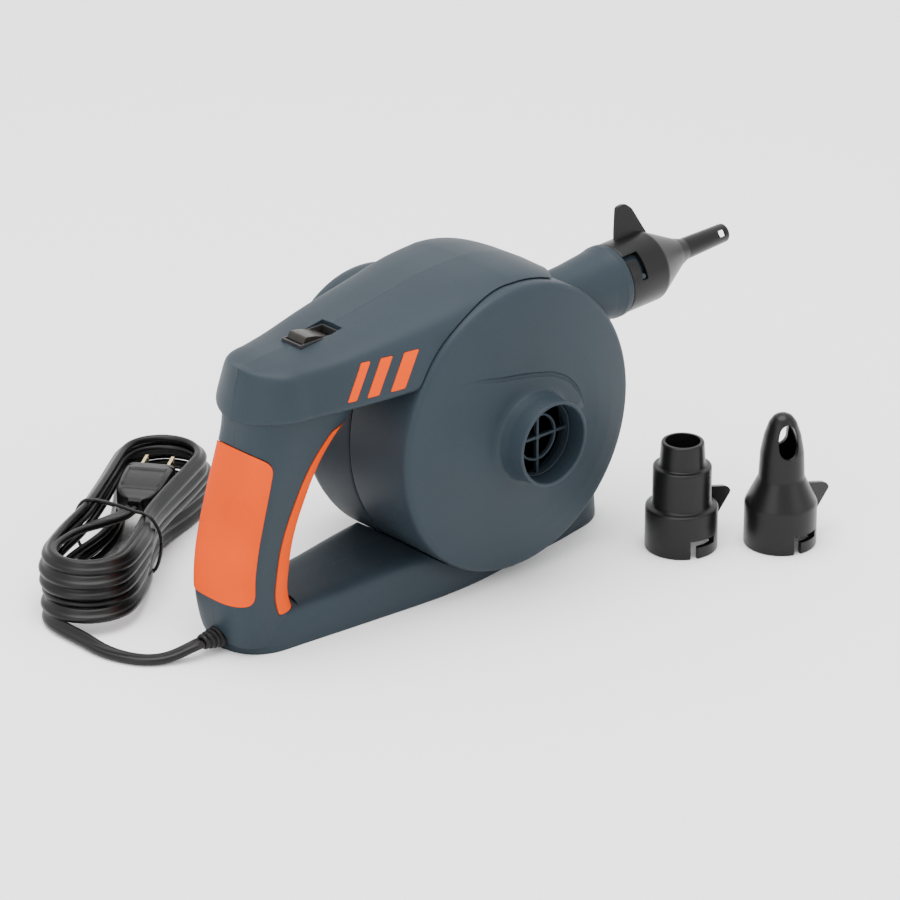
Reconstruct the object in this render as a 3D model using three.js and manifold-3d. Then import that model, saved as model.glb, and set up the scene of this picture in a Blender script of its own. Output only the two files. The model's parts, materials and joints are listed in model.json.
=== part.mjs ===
// Electric air mattress pump: a D-shaped body with a drum blower, a rocker switch, a mains lead and
// three bayonet nozzles. Millimetres, +Z up, +X from the handle to the outlet, -Y the inlet side.
import * as THREE from "three";
import { ParametricGeometry } from "three/addons/geometries/ParametricGeometry.js";
import { mergeVertices } from "three/addons/utils/BufferGeometryUtils.js";
import Module from "manifold-3d";

const wasm = await Module();
wasm.setup();

// ---- Driving dimensions -------------------------------------------------------------------------

const GAP = 0.3; // between pieces that touch
const FLATNESS = 0.15; // facets closer to flat than this are merged
const WALL = 2.6; // moulded shell
const DRUM_AXIS_Z = 77; // height of the blower axis, which runs along Y at X = 0
const DRUM_RADIUS = 70.3;
const DRUM_BORE = 70.9; // the frame's saddle round the drum
const FACE_Y = -39; // plane of the inlet face's rim
const SHELL_Y = 36; // far wall of the drum
const CAP_RADIUS = 49;
const CAP_Y = 76; // far face of the motor cap
const PORT_Y = -62.7; // rim of the inlet port
const PORT_RADIUS = 20.6;
const OUTLET = new THREE.Vector3(77.2, -17.5, 122.7); // shoulder face of the outlet tube
const OUTLET_RISE = 2.5; // degrees
const SPIGOT_RADIUS = 14.2;
const SOCKET_RADIUS = 14.9;
const NOZZLE_RADIUS = 17.3;
const TWIST = 36; // degrees of bayonet turn
const SLOT_WIDTH = 3.6;
const LUG_S = 7.6; // lug centre along the spigot
const LUG_RADIUS = 1.3;
const STRAP_END_X = 62; // front end of the strap over the drum
const GRIP_HALF = 19.5;
const GRIP_WALL = 3.8;
const SWITCH_X = -92;
const SWITCH_LENGTH = 25;
const SWITCH_WIDTH = 13.6;
const ROCKER_PIVOT_Z = 133.4;
const ROCKER_TILT = 13; // degrees to each side of level
const SHAFT_RADIUS = 3;
const BEARING_BORE = 3.06;
const CORD_EXIT = new THREE.Vector3(-160, 0, 6.8);
const HANK_CENTRE = new THREE.Vector2(-121, 101.4);
const HANK_ANGLE = 33; // degrees from +X
const HANK_HALF_LENGTH = 85;
const HANK_HALF_WIDTH = 24.8;
const HANK_HEIGHT = 29;
const PLUG_CENTRE = new THREE.Vector3(-98, 115.2, 24);
const PLUG_ANGLE = 37;
const ORIGIN_SHIFT = [0.2, 16.8, 0]; // puts the middle of the floor under pump and nozzles at 0

const BLUE_GREY = { color: 0x4d5c68, roughness: 0.62, metalness: 0 };
const ORANGE = { color: 0xe9722f, roughness: 0.7, metalness: 0 };
const BLACK = { color: 0x26272a, roughness: 0.45, metalness: 0 };
const RUBBER = { color: 0x1d1d1f, roughness: 0.55, metalness: 0 };
const STEEL = { color: 0xb9bcc0, roughness: 0.3, metalness: 1 };
const IRON = { color: 0x74777a, roughness: 0.45, metalness: 1 };
const COPPER = { color: 0xb46a38, roughness: 0.4, metalness: 1 };
const BRASS = { color: 0xc9a24a, roughness: 0.35, metalness: 1 };
const CARBON = { color: 0x2a2a2c, roughness: 0.8, metalness: 0 };

const rad = THREE.MathUtils.degToRad;

// ---- Solids -------------------------------------------------------------------------------------

// A closed geometry as a manifold solid: vertices merged, empty triangles dropped, faces outwards.
function solid(geometry) {
  const bare = geometry.index ? geometry.toNonIndexed() : geometry.clone();
  bare.deleteAttribute("normal");
  bare.deleteAttribute("uv");
  const merged = mergeVertices(bare, 1e-4);
  const corners = merged.index.array;
  const kept = [];
  for (let i = 0; i < corners.length; i += 3) {
    const [a, b, c] = [corners[i], corners[i + 1], corners[i + 2]];
    if (a !== b && b !== c && c !== a) kept.push(a, b, c);
  }
  const vertProperties = new Float32Array(merged.attributes.position.array);
  const build = (tris) =>
    new wasm.Manifold(new wasm.Mesh({ numProp: 3, vertProperties, triVerts: new Uint32Array(tris) }));
  const body = build(kept);
  return body.volume() > 0 ? body : build(kept.reverse());
}

function geometryOf(body) {
  const mesh = body.simplify(FLATNESS).getMesh();
  const geometry = new THREE.BufferGeometry();
  geometry.setAttribute("position", new THREE.BufferAttribute(mesh.vertProperties, 3));
  geometry.setIndex(new THREE.BufferAttribute(mesh.triVerts, 1));
  geometry.computeVertexNormals();
  return geometry;
}

const join = (first, ...rest) => rest.reduce((a, b) => a.add(b), first);
const cut = (first, ...rest) => rest.reduce((a, b) => a.subtract(b), first);

function moved(geometry, x, y, z) {
  return geometry.translate(x, y, z);
}

function box(x0, x1, y0, y1, z0, z1) {
  const geometry = new THREE.BoxGeometry(x1 - x0, y1 - y0, z1 - z0);
  return solid(moved(geometry, (x0 + x1) / 2, (y0 + y1) / 2, (z0 + z1) / 2));
}

// A round bar along Y from y0 to y1, about the point x, z.
function barY(radius, y0, y1, x, z, sides = 32) {
  return solid(moved(new THREE.CylinderGeometry(radius, radius, y1 - y0, sides), x, (y0 + y1) / 2, z));
}

// A round bar along X from x0 to x1, about the point y, z.
function barX(radius, x0, x1, y, z, sides = 32) {
  const bar = new THREE.CylinderGeometry(radius, radius, x1 - x0, sides).rotateZ(Math.PI / 2);
  return solid(moved(bar, (x0 + x1) / 2, y, z));
}

// A turned body about the blower axis: the profile's points are [radius, y].
function turned(points, sides = 48) {
  const profile = points.map(([r, y]) => new THREE.Vector2(r, y));
  if (points[0][0] > 0) profile.push(profile[0].clone());
  return solid(moved(new THREE.LatheGeometry(profile, sides), 0, 0, DRUM_AXIS_Z));
}

// A turned body about its own +Z: the profile's points are [radius, s].
function turnedUp(points, sides = 32) {
  const profile = points.map(([r, s]) => new THREE.Vector2(r, s));
  if (points[0][0] > 0) profile.push(profile[0].clone());
  return solid(new THREE.LatheGeometry(profile, sides).rotateX(Math.PI / 2));
}

// A side-view outline [x, z] carried across Y.
function prismY(outline, y0, y1) {
  const shape = new THREE.Shape(outline.map(([x, z]) => new THREE.Vector2(x, z)));
  const geometry = new THREE.ExtrudeGeometry(shape, { depth: y1 - y0, bevelEnabled: false });
  return solid(moved(geometry.rotateX(Math.PI / 2), 0, y1, 0));
}

// A plan-view outline [x, y] carried up Z.
function prismZ(outline, z0, z1) {
  const shape = new THREE.Shape(outline.map(([x, y]) => new THREE.Vector2(x, y)));
  const geometry = new THREE.ExtrudeGeometry(shape, { depth: z1 - z0, bevelEnabled: false });
  return solid(moved(geometry, 0, 0, z0));
}

// A round rod or cord through points, with a section of so many sides.
function rod(points, radius, sides, steps) {
  const curve = new THREE.CatmullRomCurve3(points.map((p) => new THREE.Vector3(...p)), false, "centripetal");
  const section = new THREE.Shape();
  for (let i = 0; i < sides; i++) {
    const a = (2 * Math.PI * i) / sides;
    section[i ? "lineTo" : "moveTo"](radius * Math.cos(a), radius * Math.sin(a));
  }
  return solid(new THREE.ExtrudeGeometry(section, { extrudePath: curve, steps, bevelEnabled: false }));
}

// A closed surface through rings. ringAt(t, angle) is a point of the ring at t, 0 to 1; the two end
// rings close on their middle points.
function loft(ringAt, along, around) {
  const middle = (t) => ringAt(t, 0).add(ringAt(t, Math.PI)).multiplyScalar(0.5);
  const surface = (u, v, target) => {
    const row = Math.round(v * (along + 2)) - 1;
    if (row < 0) target.copy(middle(0));
    else if (row > along) target.copy(middle(1));
    else target.copy(ringAt(row / along, u < 1 ? 2 * Math.PI * u : 0));
  };
  return solid(new ParametricGeometry(surface, around, along + 2));
}

// Straight-line interpolation in a list of [position, value].
function between(table, position) {
  const last = table.length - 1;
  if (position <= table[0][0]) return table[0][1];
  if (position >= table[last][0]) return table[last][1];
  const i = table.findIndex(([p]) => p > position);
  const [p0, v0] = table[i - 1];
  const [p1, v1] = table[i];
  return v0 + ((v1 - v0) * (position - p0)) / (p1 - p0);
}

// cos or sin raised to a power with its sign kept: the rounding of a superellipse.
const soft = (value, power) => Math.sign(value) * Math.abs(value) ** power;

// ---- The D-shaped frame -------------------------------------------------------------------------

const circleTop = (radius, x) => DRUM_AXIS_Z + Math.sqrt(Math.max(radius ** 2 - x ** 2, 0));
// Half widths and heights of the top housing along X: its lower edge, its crease and its crown.
const TOP_LOW = 111;
const TOP_LOW_HALF = [[-116, 28.5], [-101, 32], [-82, 35.5], [-57, 39]];
const TOP_CREASE_HALF = [[-116, 22.5], [-96, 26.5], [-59, 32.5], [-25, 37], [-5, 39]];
const TOP_CREASE_Z = [[-135, 133.5], [-100, 135], [-75, 138.6], [-59, 140.7], [-40, 142.5], [-25, 145.2], [-8, 148]];
const TOP_CROWN = [[-130, 1.6], [-120, 2.6], [-92, 2.6], [-60, 3.4], [-40, 5.2], [-20, 4.6], [0, 3.3]];
const NOSE = { rear: -140.5, centre: -116, lean: 5 };

function noseHalf(x, table, inset) {
  const half = between(table, x) - inset;
  if (x > NOSE.centre) return half;
  const reach = (NOSE.centre - x) / (NOSE.centre - NOSE.rear - inset);
  return half * Math.sqrt(Math.max(1 - reach ** 2, 0.002));
}

// The top housing's section at x: a rounded trapezoid with a crowned top.
function topHousing(inset, front = STRAP_END_X) {
  const stations = [0, 0.8, 3, 7, 13, 21, 28, 46, 66, 86, 106, 126, 146, 164, 182, 200];
  const rear = NOSE.rear + inset;
  const scale = (front - rear) / (stations.at(-1));
  return loft((t, angle) => {
    const x = rear + stations[Math.round(t * (stations.length - 1))] * scale;
    const low = TOP_LOW + inset;
    const crease = (x < -8 ? between(TOP_CREASE_Z, x) : circleTop(71, Math.max(x, 0))) - inset;
    const c = soft(Math.cos(angle), 0.3);
    const s = soft(Math.sin(angle), 0.3);
    const height = (s + 1) / 2;
    const half = THREE.MathUtils.lerp(noseHalf(x, TOP_LOW_HALF, inset), noseHalf(x, TOP_CREASE_HALF, inset), height);
    const lean = NOSE.lean * height * THREE.MathUtils.smoothstep(-x, -NOSE.centre, -NOSE.rear);
    const crown = between(TOP_CROWN, x) * (1 - c ** 2) * height;
    return new THREE.Vector3(x + lean, half * c, low + (crease - low) * height + crown);
  }, stations.length - 1, 24);
}

// Rear and front edges of the grip up Z, at the mid-plane.
const GRIP_REAR = [[0, -146], [6, -149.5], [16, -152.2], [25, -153.5], [41, -153], [55, -150.5], [68, -147],
  [82, -143], [95, -139.5], [104, -138], [118, -138]];
const GRIP_FRONT = [[0, -108], [8, -110], [14, -115], [25, -119], [38, -118], [49, -115.8], [58.4, -112.5],
  [69.6, -107], [78.4, -102], [86.7, -96], [95.6, -87], [104, -76], [118, -66]];

function grip(inset, z0 = 4, z1 = 116) {
  return loft((t, angle) => {
    const z = z0 + (z1 - z0) * t;
    const rear = between(GRIP_REAR, z) + inset;
    const front = between(GRIP_FRONT, z) - inset;
    const c = soft(Math.cos(angle), 0.62);
    const s = soft(Math.sin(angle), 0.62);
    return new THREE.Vector3((rear + front) / 2 + ((front - rear) / 2) * c, (GRIP_HALF - inset) * s, z);
  }, 16, 20);
}

// Half width at the floor and height of the base along X.
const BASE_HALF = [[-128, 22.5], [-96, 25.6], [-73, 27.9], [-53, 29.9], [-36, 31.3], [-15, 30.3], [5, 27.5],
  [28, 25], [45, 22.5], [60, 19.5]];
const BASE_HEIGHT = [[-140, 18], [-118, 18.5], [-90, 19.5], [-60, 22.5], [-40, 24], [40, 22], [78, 16]];
const BASE_ENDS = { rear: -148, rearCentre: -126, front: 81.5, frontCentre: 60 };

function baseBar(inset, x0 = BASE_ENDS.rear, x1 = BASE_ENDS.front) {
  const rows = 16;
  return loft((t, angle) => {
    const ease = (1 - Math.cos(Math.PI * t)) / 2;
    const x = x0 + inset + (x1 - x0 - 2 * inset) * (0.55 * t + 0.45 * ease);
    let half = between(BASE_HALF, x) - inset;
    const rearReach = (BASE_ENDS.rearCentre - x) / (BASE_ENDS.rearCentre - BASE_ENDS.rear - inset);
    const frontReach = (x - BASE_ENDS.frontCentre) / (BASE_ENDS.front - inset - BASE_ENDS.frontCentre);
    half *= Math.sqrt(Math.max(1 - Math.max(rearReach, frontReach, 0) ** 2.4, 0.01));
    const c = soft(Math.cos(angle), 0.34);
    const s = soft(Math.sin(angle), 0.34);
    const low = inset ? inset : -2.5;
    const height = (s + 1) / 2;
    const draft = 1 - 0.16 * height;
    return new THREE.Vector3(x, half * c * draft, low + (between(BASE_HEIGHT, x) - inset - low) * height);
  }, rows, 20);
}

const BOSSES = [[-126, 122], [-134, 56], [-70, 11], [66, 8]]; // screw places, [x, z]
const BOSS_RADIUS = 4.2;
const HEAD_SEAT_Y = 8;

// Side-view outlines of the soft grip pads and the slanted trim strips, as [x, z].
function sideOutline(table, offset, z0, z1, beyond) {
  const rows = 8;
  const edge = [];
  for (let i = 0; i <= rows; i++) {
    const z = z0 + ((z1 - z0) * i) / rows;
    edge.push([between(table, z) + offset, z]);
  }
  return [...edge, [beyond, z1], [beyond, z0]];
}

const REAR_PAD = { side: 9.5, low: 27, high: 92, rise: 28 };
const FRONT_PAD = { side: -11.5, low: 19.6, high: 99 };

function rearPadOutline(grow) {
  const { side, low, high, rise } = REAR_PAD;
  const outline = sideOutline(GRIP_REAR, side + grow, low - grow, high + grow, -175);
  outline[outline.length - 2][1] += rise;
  return outline;
}

function frontPadOutline(grow) {
  return sideOutline(GRIP_FRONT, FRONT_PAD.side - grow, FRONT_PAD.low - grow, FRONT_PAD.high + grow, -60);
}

const STRIPES = [
  { x: -98.4, width: 5.8 },
  { x: -88.4, width: 7.2 },
  { x: -76.4, width: 9.1 },
];
const STRIPE_LOW = 116.8;
const STRIPE_HIGH = 132.6;
const STRIPE_LEAN = 10.2;

function stripeOutline({ x, width }, grow) {
  return [
    [x - grow, STRIPE_LOW - grow],
    [x + width + grow, STRIPE_LOW - grow],
    [x + width + STRIPE_LEAN + grow, STRIPE_HIGH + grow],
    [x + STRIPE_LEAN - grow, STRIPE_HIGH + grow],
  ];
}

const PAD_DEPTH = 1.5;
const PAD_PROUD = 0.35;
const gripPadSkin = cut(grip(-PAD_PROUD), grip(PAD_DEPTH));
const gripPadBed = grip(PAD_DEPTH + GAP);
const stripeSkin = cut(topHousing(-0.25), topHousing(1.1));
const stripeBed = topHousing(1.1 + GAP);

const drumBore = barY(DRUM_BORE, -60, 60, 0, DRUM_AXIS_Z, 52);
const mainShape = cut(join(topHousing(0), grip(0), baseBar(0)), drumBore, box(-200, 200, -60, 60, -10, 0));
const mainHollow = cut(
  join(topHousing(WALL, -36), grip(GRIP_WALL, 9, 114), baseBar(WALL, BASE_ENDS.rear + 1, -46)),
  barY(DRUM_BORE + WALL, -60, 60, 0, DRUM_AXIS_Z, 52),
);

const WIRE_HOLE = { y: 14, z: 118 };

// The outlet tube's clear path through the strap, in plan.
const TAIL = [[22, -60], [22, -38.6], [48, -0.05], [48, 0.35], [100, 0.35], [100, -60]];

function frameShape() {
  const bosses = BOSSES.map(([x, z]) => barY(BOSS_RADIUS, -40, 40, x, z, 16).intersect(mainShape));
  const hollow = mainHollow;
  const shell = join(cut(mainShape, hollow), ...bosses);
  const pads = [
    prismY(rearPadOutline(GAP), -60, 60).intersect(grip(-4)),
    prismY(frontPadOutline(GAP), -60, 60).intersect(grip(-4)),
  ].map((p) => cut(p, gripPadBed));
  const stripes = STRIPES.map((s) => cut(prismY(stripeOutline(s, GAP), -60, 60), stripeBed));
  const switchHole = box(
    SWITCH_X - SWITCH_LENGTH / 2, SWITCH_X + SWITCH_LENGTH / 2,
    -SWITCH_WIDTH / 2, SWITCH_WIDTH / 2, 128, 160,
  );
  return cut(
    shell, ...pads, ...stripes, switchHole, barX(5.7, -170, -132, 0, CORD_EXIT.z, 20),
    barX(3, -70, -46, WIRE_HOLE.y, WIRE_HOLE.z, 16), prismZ(TAIL, 80, 200),
  );
}

const SEAM = 0.12; // each half stands back this far from the mid-plane
const frame = frameShape();

function frameHalf(side) {
  const keep = side < 0 ? box(-200, 200, -80, -SEAM, -20, 220) : box(-200, 200, SEAM, 80, -20, 220);
  const holes = BOSSES.flatMap(([x, z]) =>
    side < 0
      ? [barY(1.5, -14, 10, x, z, 8)]
      : [barY(1.8, -5, 20, x, z, 10), barY(3.5, HEAD_SEAT_Y, 60, x, z, 16)],
  );
  return cut(frame.intersect(keep), ...holes);
}

function frameScrew([x, z]) {
  const head = barY(3, HEAD_SEAT_Y + GAP, HEAD_SEAT_Y + 2.8, x, z, 14);
  const slot = (w, h) => box(x - w, x + w, HEAD_SEAT_Y + 1.9, HEAD_SEAT_Y + 4, z - h, z + h);
  return cut(join(head, barY(1.2, -12, HEAD_SEAT_Y + 1, x, z, 8)), slot(1.8, 0.4), slot(0.4, 1.8));
}

// ---- Drum: volute cover, motor shell and motor cap ----------------------------------------------

// Geometry made about +Z, with its foot on the outlet shoulder, turned onto the outlet axis.
function onOutlet(body) {
  const turn = 90 - OUTLET_RISE;
  return body.rotate([0, turn, 0]).translate(OUTLET.toArray());
}

// The direction round the outlet axis, in degrees from straight up towards the inlet side, for a
// piece made about +Z: straight up is its own -X and the inlet side its own -Y.
const outletAngle = (degrees) => 180 + degrees;
const LUG_ANGLE = 74;

function voluteCover() {
  const face = turned([
    [18.9, PORT_Y], [PORT_RADIUS - 0.4, PORT_Y], [PORT_RADIUS, PORT_Y + 0.5], [21.3, -50], [22.6, -48.2],
    [36, -45.8], [52, -43], [65, -40.3], [68, -39.3], [69.7, -37.6], [DRUM_RADIUS, -35.4],
    [DRUM_RADIUS, -GAP], [67.4, -GAP], [67.4, -33.5], [64, -37.2], [36, -43.2], [18.9, -45.4],
  ], 52);
  const tube = onOutlet(turnedUp([
    [0, -78], [14.6, -78], [14.9, -42], [15.6, -24], [16.9, -9], [17.7, -3.6], [17.8, -1], [17.4, 0],
    [SPIGOT_RADIUS, 0], [SPIGOT_RADIUS, 15.4], [SPIGOT_RADIUS - 0.6, 16], [0, 16],
  ], 32));
  const bore = onOutlet(turnedUp([[0, -62], [12, -62], [12, 20], [0, 20]], 28));
  const lugs = [0, 180].map((half) => {
    const lug = new THREE.CylinderGeometry(LUG_RADIUS, LUG_RADIUS, 4, 16).rotateZ(Math.PI / 2);
    return onOutlet(solid(moved(lug, 14.9, 0, LUG_S).rotateZ(rad(outletAngle(LUG_ANGLE + half)))));
  });
  const cavity = turned([[0, -36.6], [58, -36.6], [65, -35.4], [67.4, -33], [67.4, 5], [0, 5]], 52);
  const beyondSeam = box(-60, 69, -GAP, 20, 60, 160);
  return cut(join(face, cut(tube, cavity, beyondSeam), ...lugs), bore);
}

const CAP_SCREWS = [90, 210, 330].map((a) => [53.2 * Math.cos(rad(a)), DRUM_AXIS_Z + 53.2 * Math.sin(rad(a))]);

function motorShell() {
  const wall = turned([
    [67.4, GAP], [DRUM_RADIUS, GAP], [DRUM_RADIUS, 29], [68.9, 33], [66, 35.3], [62, SHELL_Y], [46, SHELL_Y],
    [46, SHELL_Y - WALL], [62.5, SHELL_Y - WALL], [65.8, 32.3], [67.4, 28.5],
  ], 48);
  const ears = CAP_SCREWS.map(([x, z]) => barY(4, 24, SHELL_Y - 1, x, z, 14));
  const holes = CAP_SCREWS.map(([x, z]) => barY(1.7, 20, 60, x, z, 8));
  return cut(join(wall, ...ears), ...holes, barX(2.6, -70, -46, WIRE_HOLE.y, WIRE_HOLE.z, 16));
}

const VENT_PITCH = 11;

function motorCap() {
  const y0 = SHELL_Y + GAP;
  const inside = CAP_RADIUS - WALL;
  const shell = turned([
    [0, CAP_Y], [41, CAP_Y], [45, 75], [47.9, 72], [CAP_RADIUS, 68], [CAP_RADIUS, y0 + 3.5],
    [CAP_RADIUS + 0.6, y0 + 2.5], [57, y0 + 2.5], [57, y0], [inside, y0], [inside, 67], [45.6, 70.4],
    [43.4, 72.6], [40.5, CAP_Y - WALL], [0, CAP_Y - WALL],
  ], 36);
  const vents = [];
  for (let row = -2; row <= 2; row++) {
    const z = DRUM_AXIS_Z + row * VENT_PITCH;
    const half = Math.sqrt(34 ** 2 - (row * VENT_PITCH) ** 2);
    for (const side of [-1, 1]) {
      const reach = [2 * side, half * side].sort((a, b) => a - b);
      vents.push(box(...reach, CAP_Y - 6, CAP_Y + 4, z - 1.6, z + 1.6));
    }
  }
  const holes = CAP_SCREWS.map(([x, z]) => barY(1.7, y0 - 4, y0 + 8, x, z, 8));
  return cut(shell, ...vents, ...holes);
}

function capScrew([x, z]) {
  const top = SHELL_Y + 2 * GAP + 2.5;
  const slots = [[1.9, 0.4], [0.4, 1.9]].map(([w, h]) => box(x - w, x + w, top + 1.5, top + 4, z - h, z + h));
  return cut(join(barY(3, top, top + 2.4, x, z, 14), barY(1.3, 26, top + 1, x, z, 8)), ...slots);
}

function inletGrille() {
  const y = -53.3;
  const ring = (inner, outer) => turned([[inner, y], [outer, y], [outer, y + 3], [inner, y + 3]], 26);
  const spokes = join(
    box(-17.4, 17.4, y + 0.2, y + 2.8, DRUM_AXIS_Z - 1, DRUM_AXIS_Z + 1),
    box(-1, 1, y + 0.2, y + 2.8, DRUM_AXIS_Z - 17.4, DRUM_AXIS_Z + 17.4),
  );
  const hub = barY(3.2, y, y + 3, 0, DRUM_AXIS_Z, 16);
  return join(ring(17, 18.6), ring(10.2, 12), spokes, hub);
}

// ---- Blower and motor ---------------------------------------------------------------------------

const about = (body, degrees) =>
  body.translate([0, 0, -DRUM_AXIS_Z]).rotate([0, degrees, 0]).translate([0, 0, DRUM_AXIS_Z]);
const around = (body, count, start = 0) =>
  Array.from({ length: count }, (_, i) => about(body, start + (360 * i) / count));
const shaftBore = (y0, y1) => barY(SHAFT_RADIUS + GAP, y0, y1, 0, DRUM_AXIS_Z, 24);

function impeller() {
  const plate = turned([[0, -8], [57, -8], [57, -6.4], [0, -6.4]], 36);
  const hub = turned([[0, -28], [6.4, -28], [7.4, -22], [9, -10], [9, -7], [0, -7]], 28);
  const vane = [];
  for (const offset of [0.8, -0.8]) {
    const edge = [];
    for (let i = 0; i <= 5; i++) {
      const radius = 18 + (38 * i) / 5;
      const lag = rad(0.62 * (radius - 18)) + offset / radius;
      edge.push([radius * Math.cos(lag), DRUM_AXIS_Z + radius * Math.sin(lag)]);
    }
    vane.push(...(offset > 0 ? edge : edge.reverse()));
  }
  const vanes = around(prismY(vane, -27, -7.5), 9);
  return cut(join(plate, hub, ...vanes), shaftBore(-40, 0));
}

function impellerNut() {
  return cut(barY(6, -33.2, -28.3, 0, DRUM_AXIS_Z, 6), shaftBore(-40, -20));
}

function motorPlate() {
  const plate = turned([
    [4.2, 0.9], [67.1, 0.9], [67.1, 3], [11, 3], [10.6, 9.8], [8.3, 9.8], [8.3, 3.4], [4.2, 3.4],
  ], 32);
  return cut(plate, ...around(barY(6, -2, 6, 24, DRUM_AXIS_Z, 14), 6, 30));
}

function bearing(y0, y1, outer) {
  return turned([[BEARING_BORE, y0], [outer, y0], [outer, y1], [BEARING_BORE, y1]], 24);
}

const shaft = () => turned([[0, -35], [2.4, -35], [SHAFT_RADIUS, -34.4], [SHAFT_RADIUS, 70.6], [2.6, 71], [0, 71]], 24);

function statorCore() {
  const ring = turned([[26, 20], [32, 20], [32, 48], [26, 48]], 40);
  const pole = cut(turned([[17.6, 20], [27, 20], [27, 48], [17.6, 48]], 40), box(-40, 8, 0, 60, 20, 140));
  return join(ring, pole, about(pole, 180));
}

function fieldCoil(turn) {
  const arc = turned([[19, 16.6], [25.4, 16.6], [25.4, 51.4], [19, 51.4]], 40);
  const above = box(-13, 13, 0, 60, DRUM_AXIS_Z + 13, DRUM_AXIS_Z + 30);
  const clear = box(7.6, 40, 10, 60, 40, 120);
  return about(cut(arc.intersect(above), clear, about(clear, 180)), turn);
}

const SLOT_COUNT = 8;

function armatureCore() {
  const core = turned([[SHAFT_RADIUS + GAP, 20], [17.2, 20], [17.2, 48], [SHAFT_RADIUS + GAP, 48]], 40);
  return cut(core, ...around(box(9, 20, 10, 60, DRUM_AXIS_Z - 1.9, DRUM_AXIS_Z + 1.9), SLOT_COUNT));
}

function armatureWinding() {
  const end = (y0, y1) => turned([[8, y0], [14.4, y0], [15.4, (y0 + y1) / 2], [14.4, y1], [8, y1]], 18);
  const bars = around(box(9.4, 15, 18, 50, DRUM_AXIS_Z - 1.5, DRUM_AXIS_Z + 1.5), SLOT_COUNT);
  return join(end(16.8, 19.6), end(48.4, 51.4), ...bars);
}

function commutator() {
  const drum = turned([
    [SHAFT_RADIUS + GAP, 51.8], [9.6, 51.8], [9.6, 53], [8.8, 53.4], [8.8, 60.6], [SHAFT_RADIUS + GAP, 60.6],
  ], 32);
  return cut(drum, ...around(box(8, 11, 50, 62, DRUM_AXIS_Z - 0.25, DRUM_AXIS_Z + 0.25), 8, 7));
}

function coolingFan() {
  const disc = turned([[0, 14], [29, 14], [29, 15.4], [0, 15.4]], 36);
  const hub = turned([[0, 10.4], [6.5, 10.4], [7.2, 15], [0, 15]], 24);
  const blades = around(box(9, 28, 10.6, 14.4, DRUM_AXIS_Z - 0.6, DRUM_AXIS_Z + 0.6), 10);
  return cut(join(disc, hub, ...blades), shaftBore(5, 30));
}

function brush(turn) {
  return about(box(9.1, 21, 54.2, 58.8, DRUM_AXIS_Z - 2.3, DRUM_AXIS_Z + 2.3), turn);
}

function brushHolder(turn) {
  const sleeve = box(12, 31.6, 52.2, 61.1, DRUM_AXIS_Z - 3.9, DRUM_AXIS_Z + 3.9);
  return about(cut(sleeve, box(8, 29, 53.9, 59.1, DRUM_AXIS_Z - 2.6, DRUM_AXIS_Z + 2.6)), turn);
}

function motorBracket() {
  const cup = turned([
    [32.3, 17], [42, 17], [42, 19.5], [34.6, 19.5], [34.6, 64], [10.4, 64], [9.4, 70], [6.8, 70], [6.8, 63.9],
    [4.4, 63.9], [4.4, 61.4], [32.3, 61.4],
  ], 28);
  const legs = around(barY(3, 3.3, 18, 38, DRUM_AXIS_Z, 12), 3, 90);
  const windows = around(box(16, 28, 60, 68, DRUM_AXIS_Z - 7, DRUM_AXIS_Z + 7), 2, 90);
  const sideWindows = around(box(28, 40, 50.5, 58.5, DRUM_AXIS_Z - 9, DRUM_AXIS_Z + 9), 2, 90);
  return cut(join(cup, ...legs), ...windows, ...sideWindows);
}

// ---- Switch and wiring --------------------------------------------------------------------------

function switchBody() {
  const [l, w] = [SWITCH_LENGTH / 2 - GAP, SWITCH_WIDTH / 2 - GAP];
  const block = box(SWITCH_X - l, SWITCH_X + l, -w, w, 114, 138.6);
  const well = box(SWITCH_X - l + 1, SWITCH_X + l - 1, -w + 0.9, w - 0.9, 124, 150);
  return cut(block, well, barY(1.5, -20, 20, SWITCH_X, ROCKER_PIVOT_Z, 16));
}

function rocker() {
  const half = [[0, 4.6], [9.7, 6.2], [10.4, 3.6], [10.9, 0.5], [10.4, -2], [4, -5.5]];
  const mirrored = half.slice(1).reverse().map(([x, z]) => [-x, z]);
  const paddle = prismY([...half, ...mirrored], -5.3, 5.3);
  const level = join(paddle, barY(1.2, -6.2, 6.2, 0, 0, 16));
  return level.rotate([0, ROCKER_TILT, 0]).translate([SWITCH_X, 0, ROCKER_PIVOT_Z]);
}

const terminal = (x) => box(x - 0.4, x + 0.4, -2.4, 2.4, 106.5, 113.7);

function innerLead() {
  const route = [
    [-138.6, 0, 6.8], [-133, 0, 6.8], [-128.6, 0, 12], [-128, 0, 28], [-125, 0, 46], [-122, 0, 60],
    [-116.5, 0, 75], [-109, 0, 89], [-103, 0, 98], [-98.5, 0, 103.4],
  ];
  return rod(route, 2.3, 8, 20);
}

function motorWire() {
  const route = [
    [-84.6, 0, 108], [-79.6, 2, 109.2], [-77.2, 4, 113.2], [-73, 9, 117.4], [-66, WIRE_HOLE.y, WIRE_HOLE.z],
    [-52, WIRE_HOLE.y, WIRE_HOLE.z], [-46, 17, 109], [-41, 24, 94], [-38.5, 26, 83],
  ];
  return rod(route, 1.5, 8, 16);
}

// ---- Nozzles, made about +Z with the foot at 0 -------------------------------------------------------

const SOCKET_DEPTH = 20;
const CHANNEL = [5.9, 9.3]; // the bayonet channel's walls along the nozzle
const FINGER_FIN = [[4, 15], [4, 17], [10.5, 24], [19, 32], [22, 29.5], [25, 19], [26, 17], [27, 13]];
const NARROW_FIN = [[8, 15], [9.3, 20.2], [13.3, 31.7], [17.9, 32.2], [21.6, 29], [27.8, 14.6], [27.8, 12]];

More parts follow.
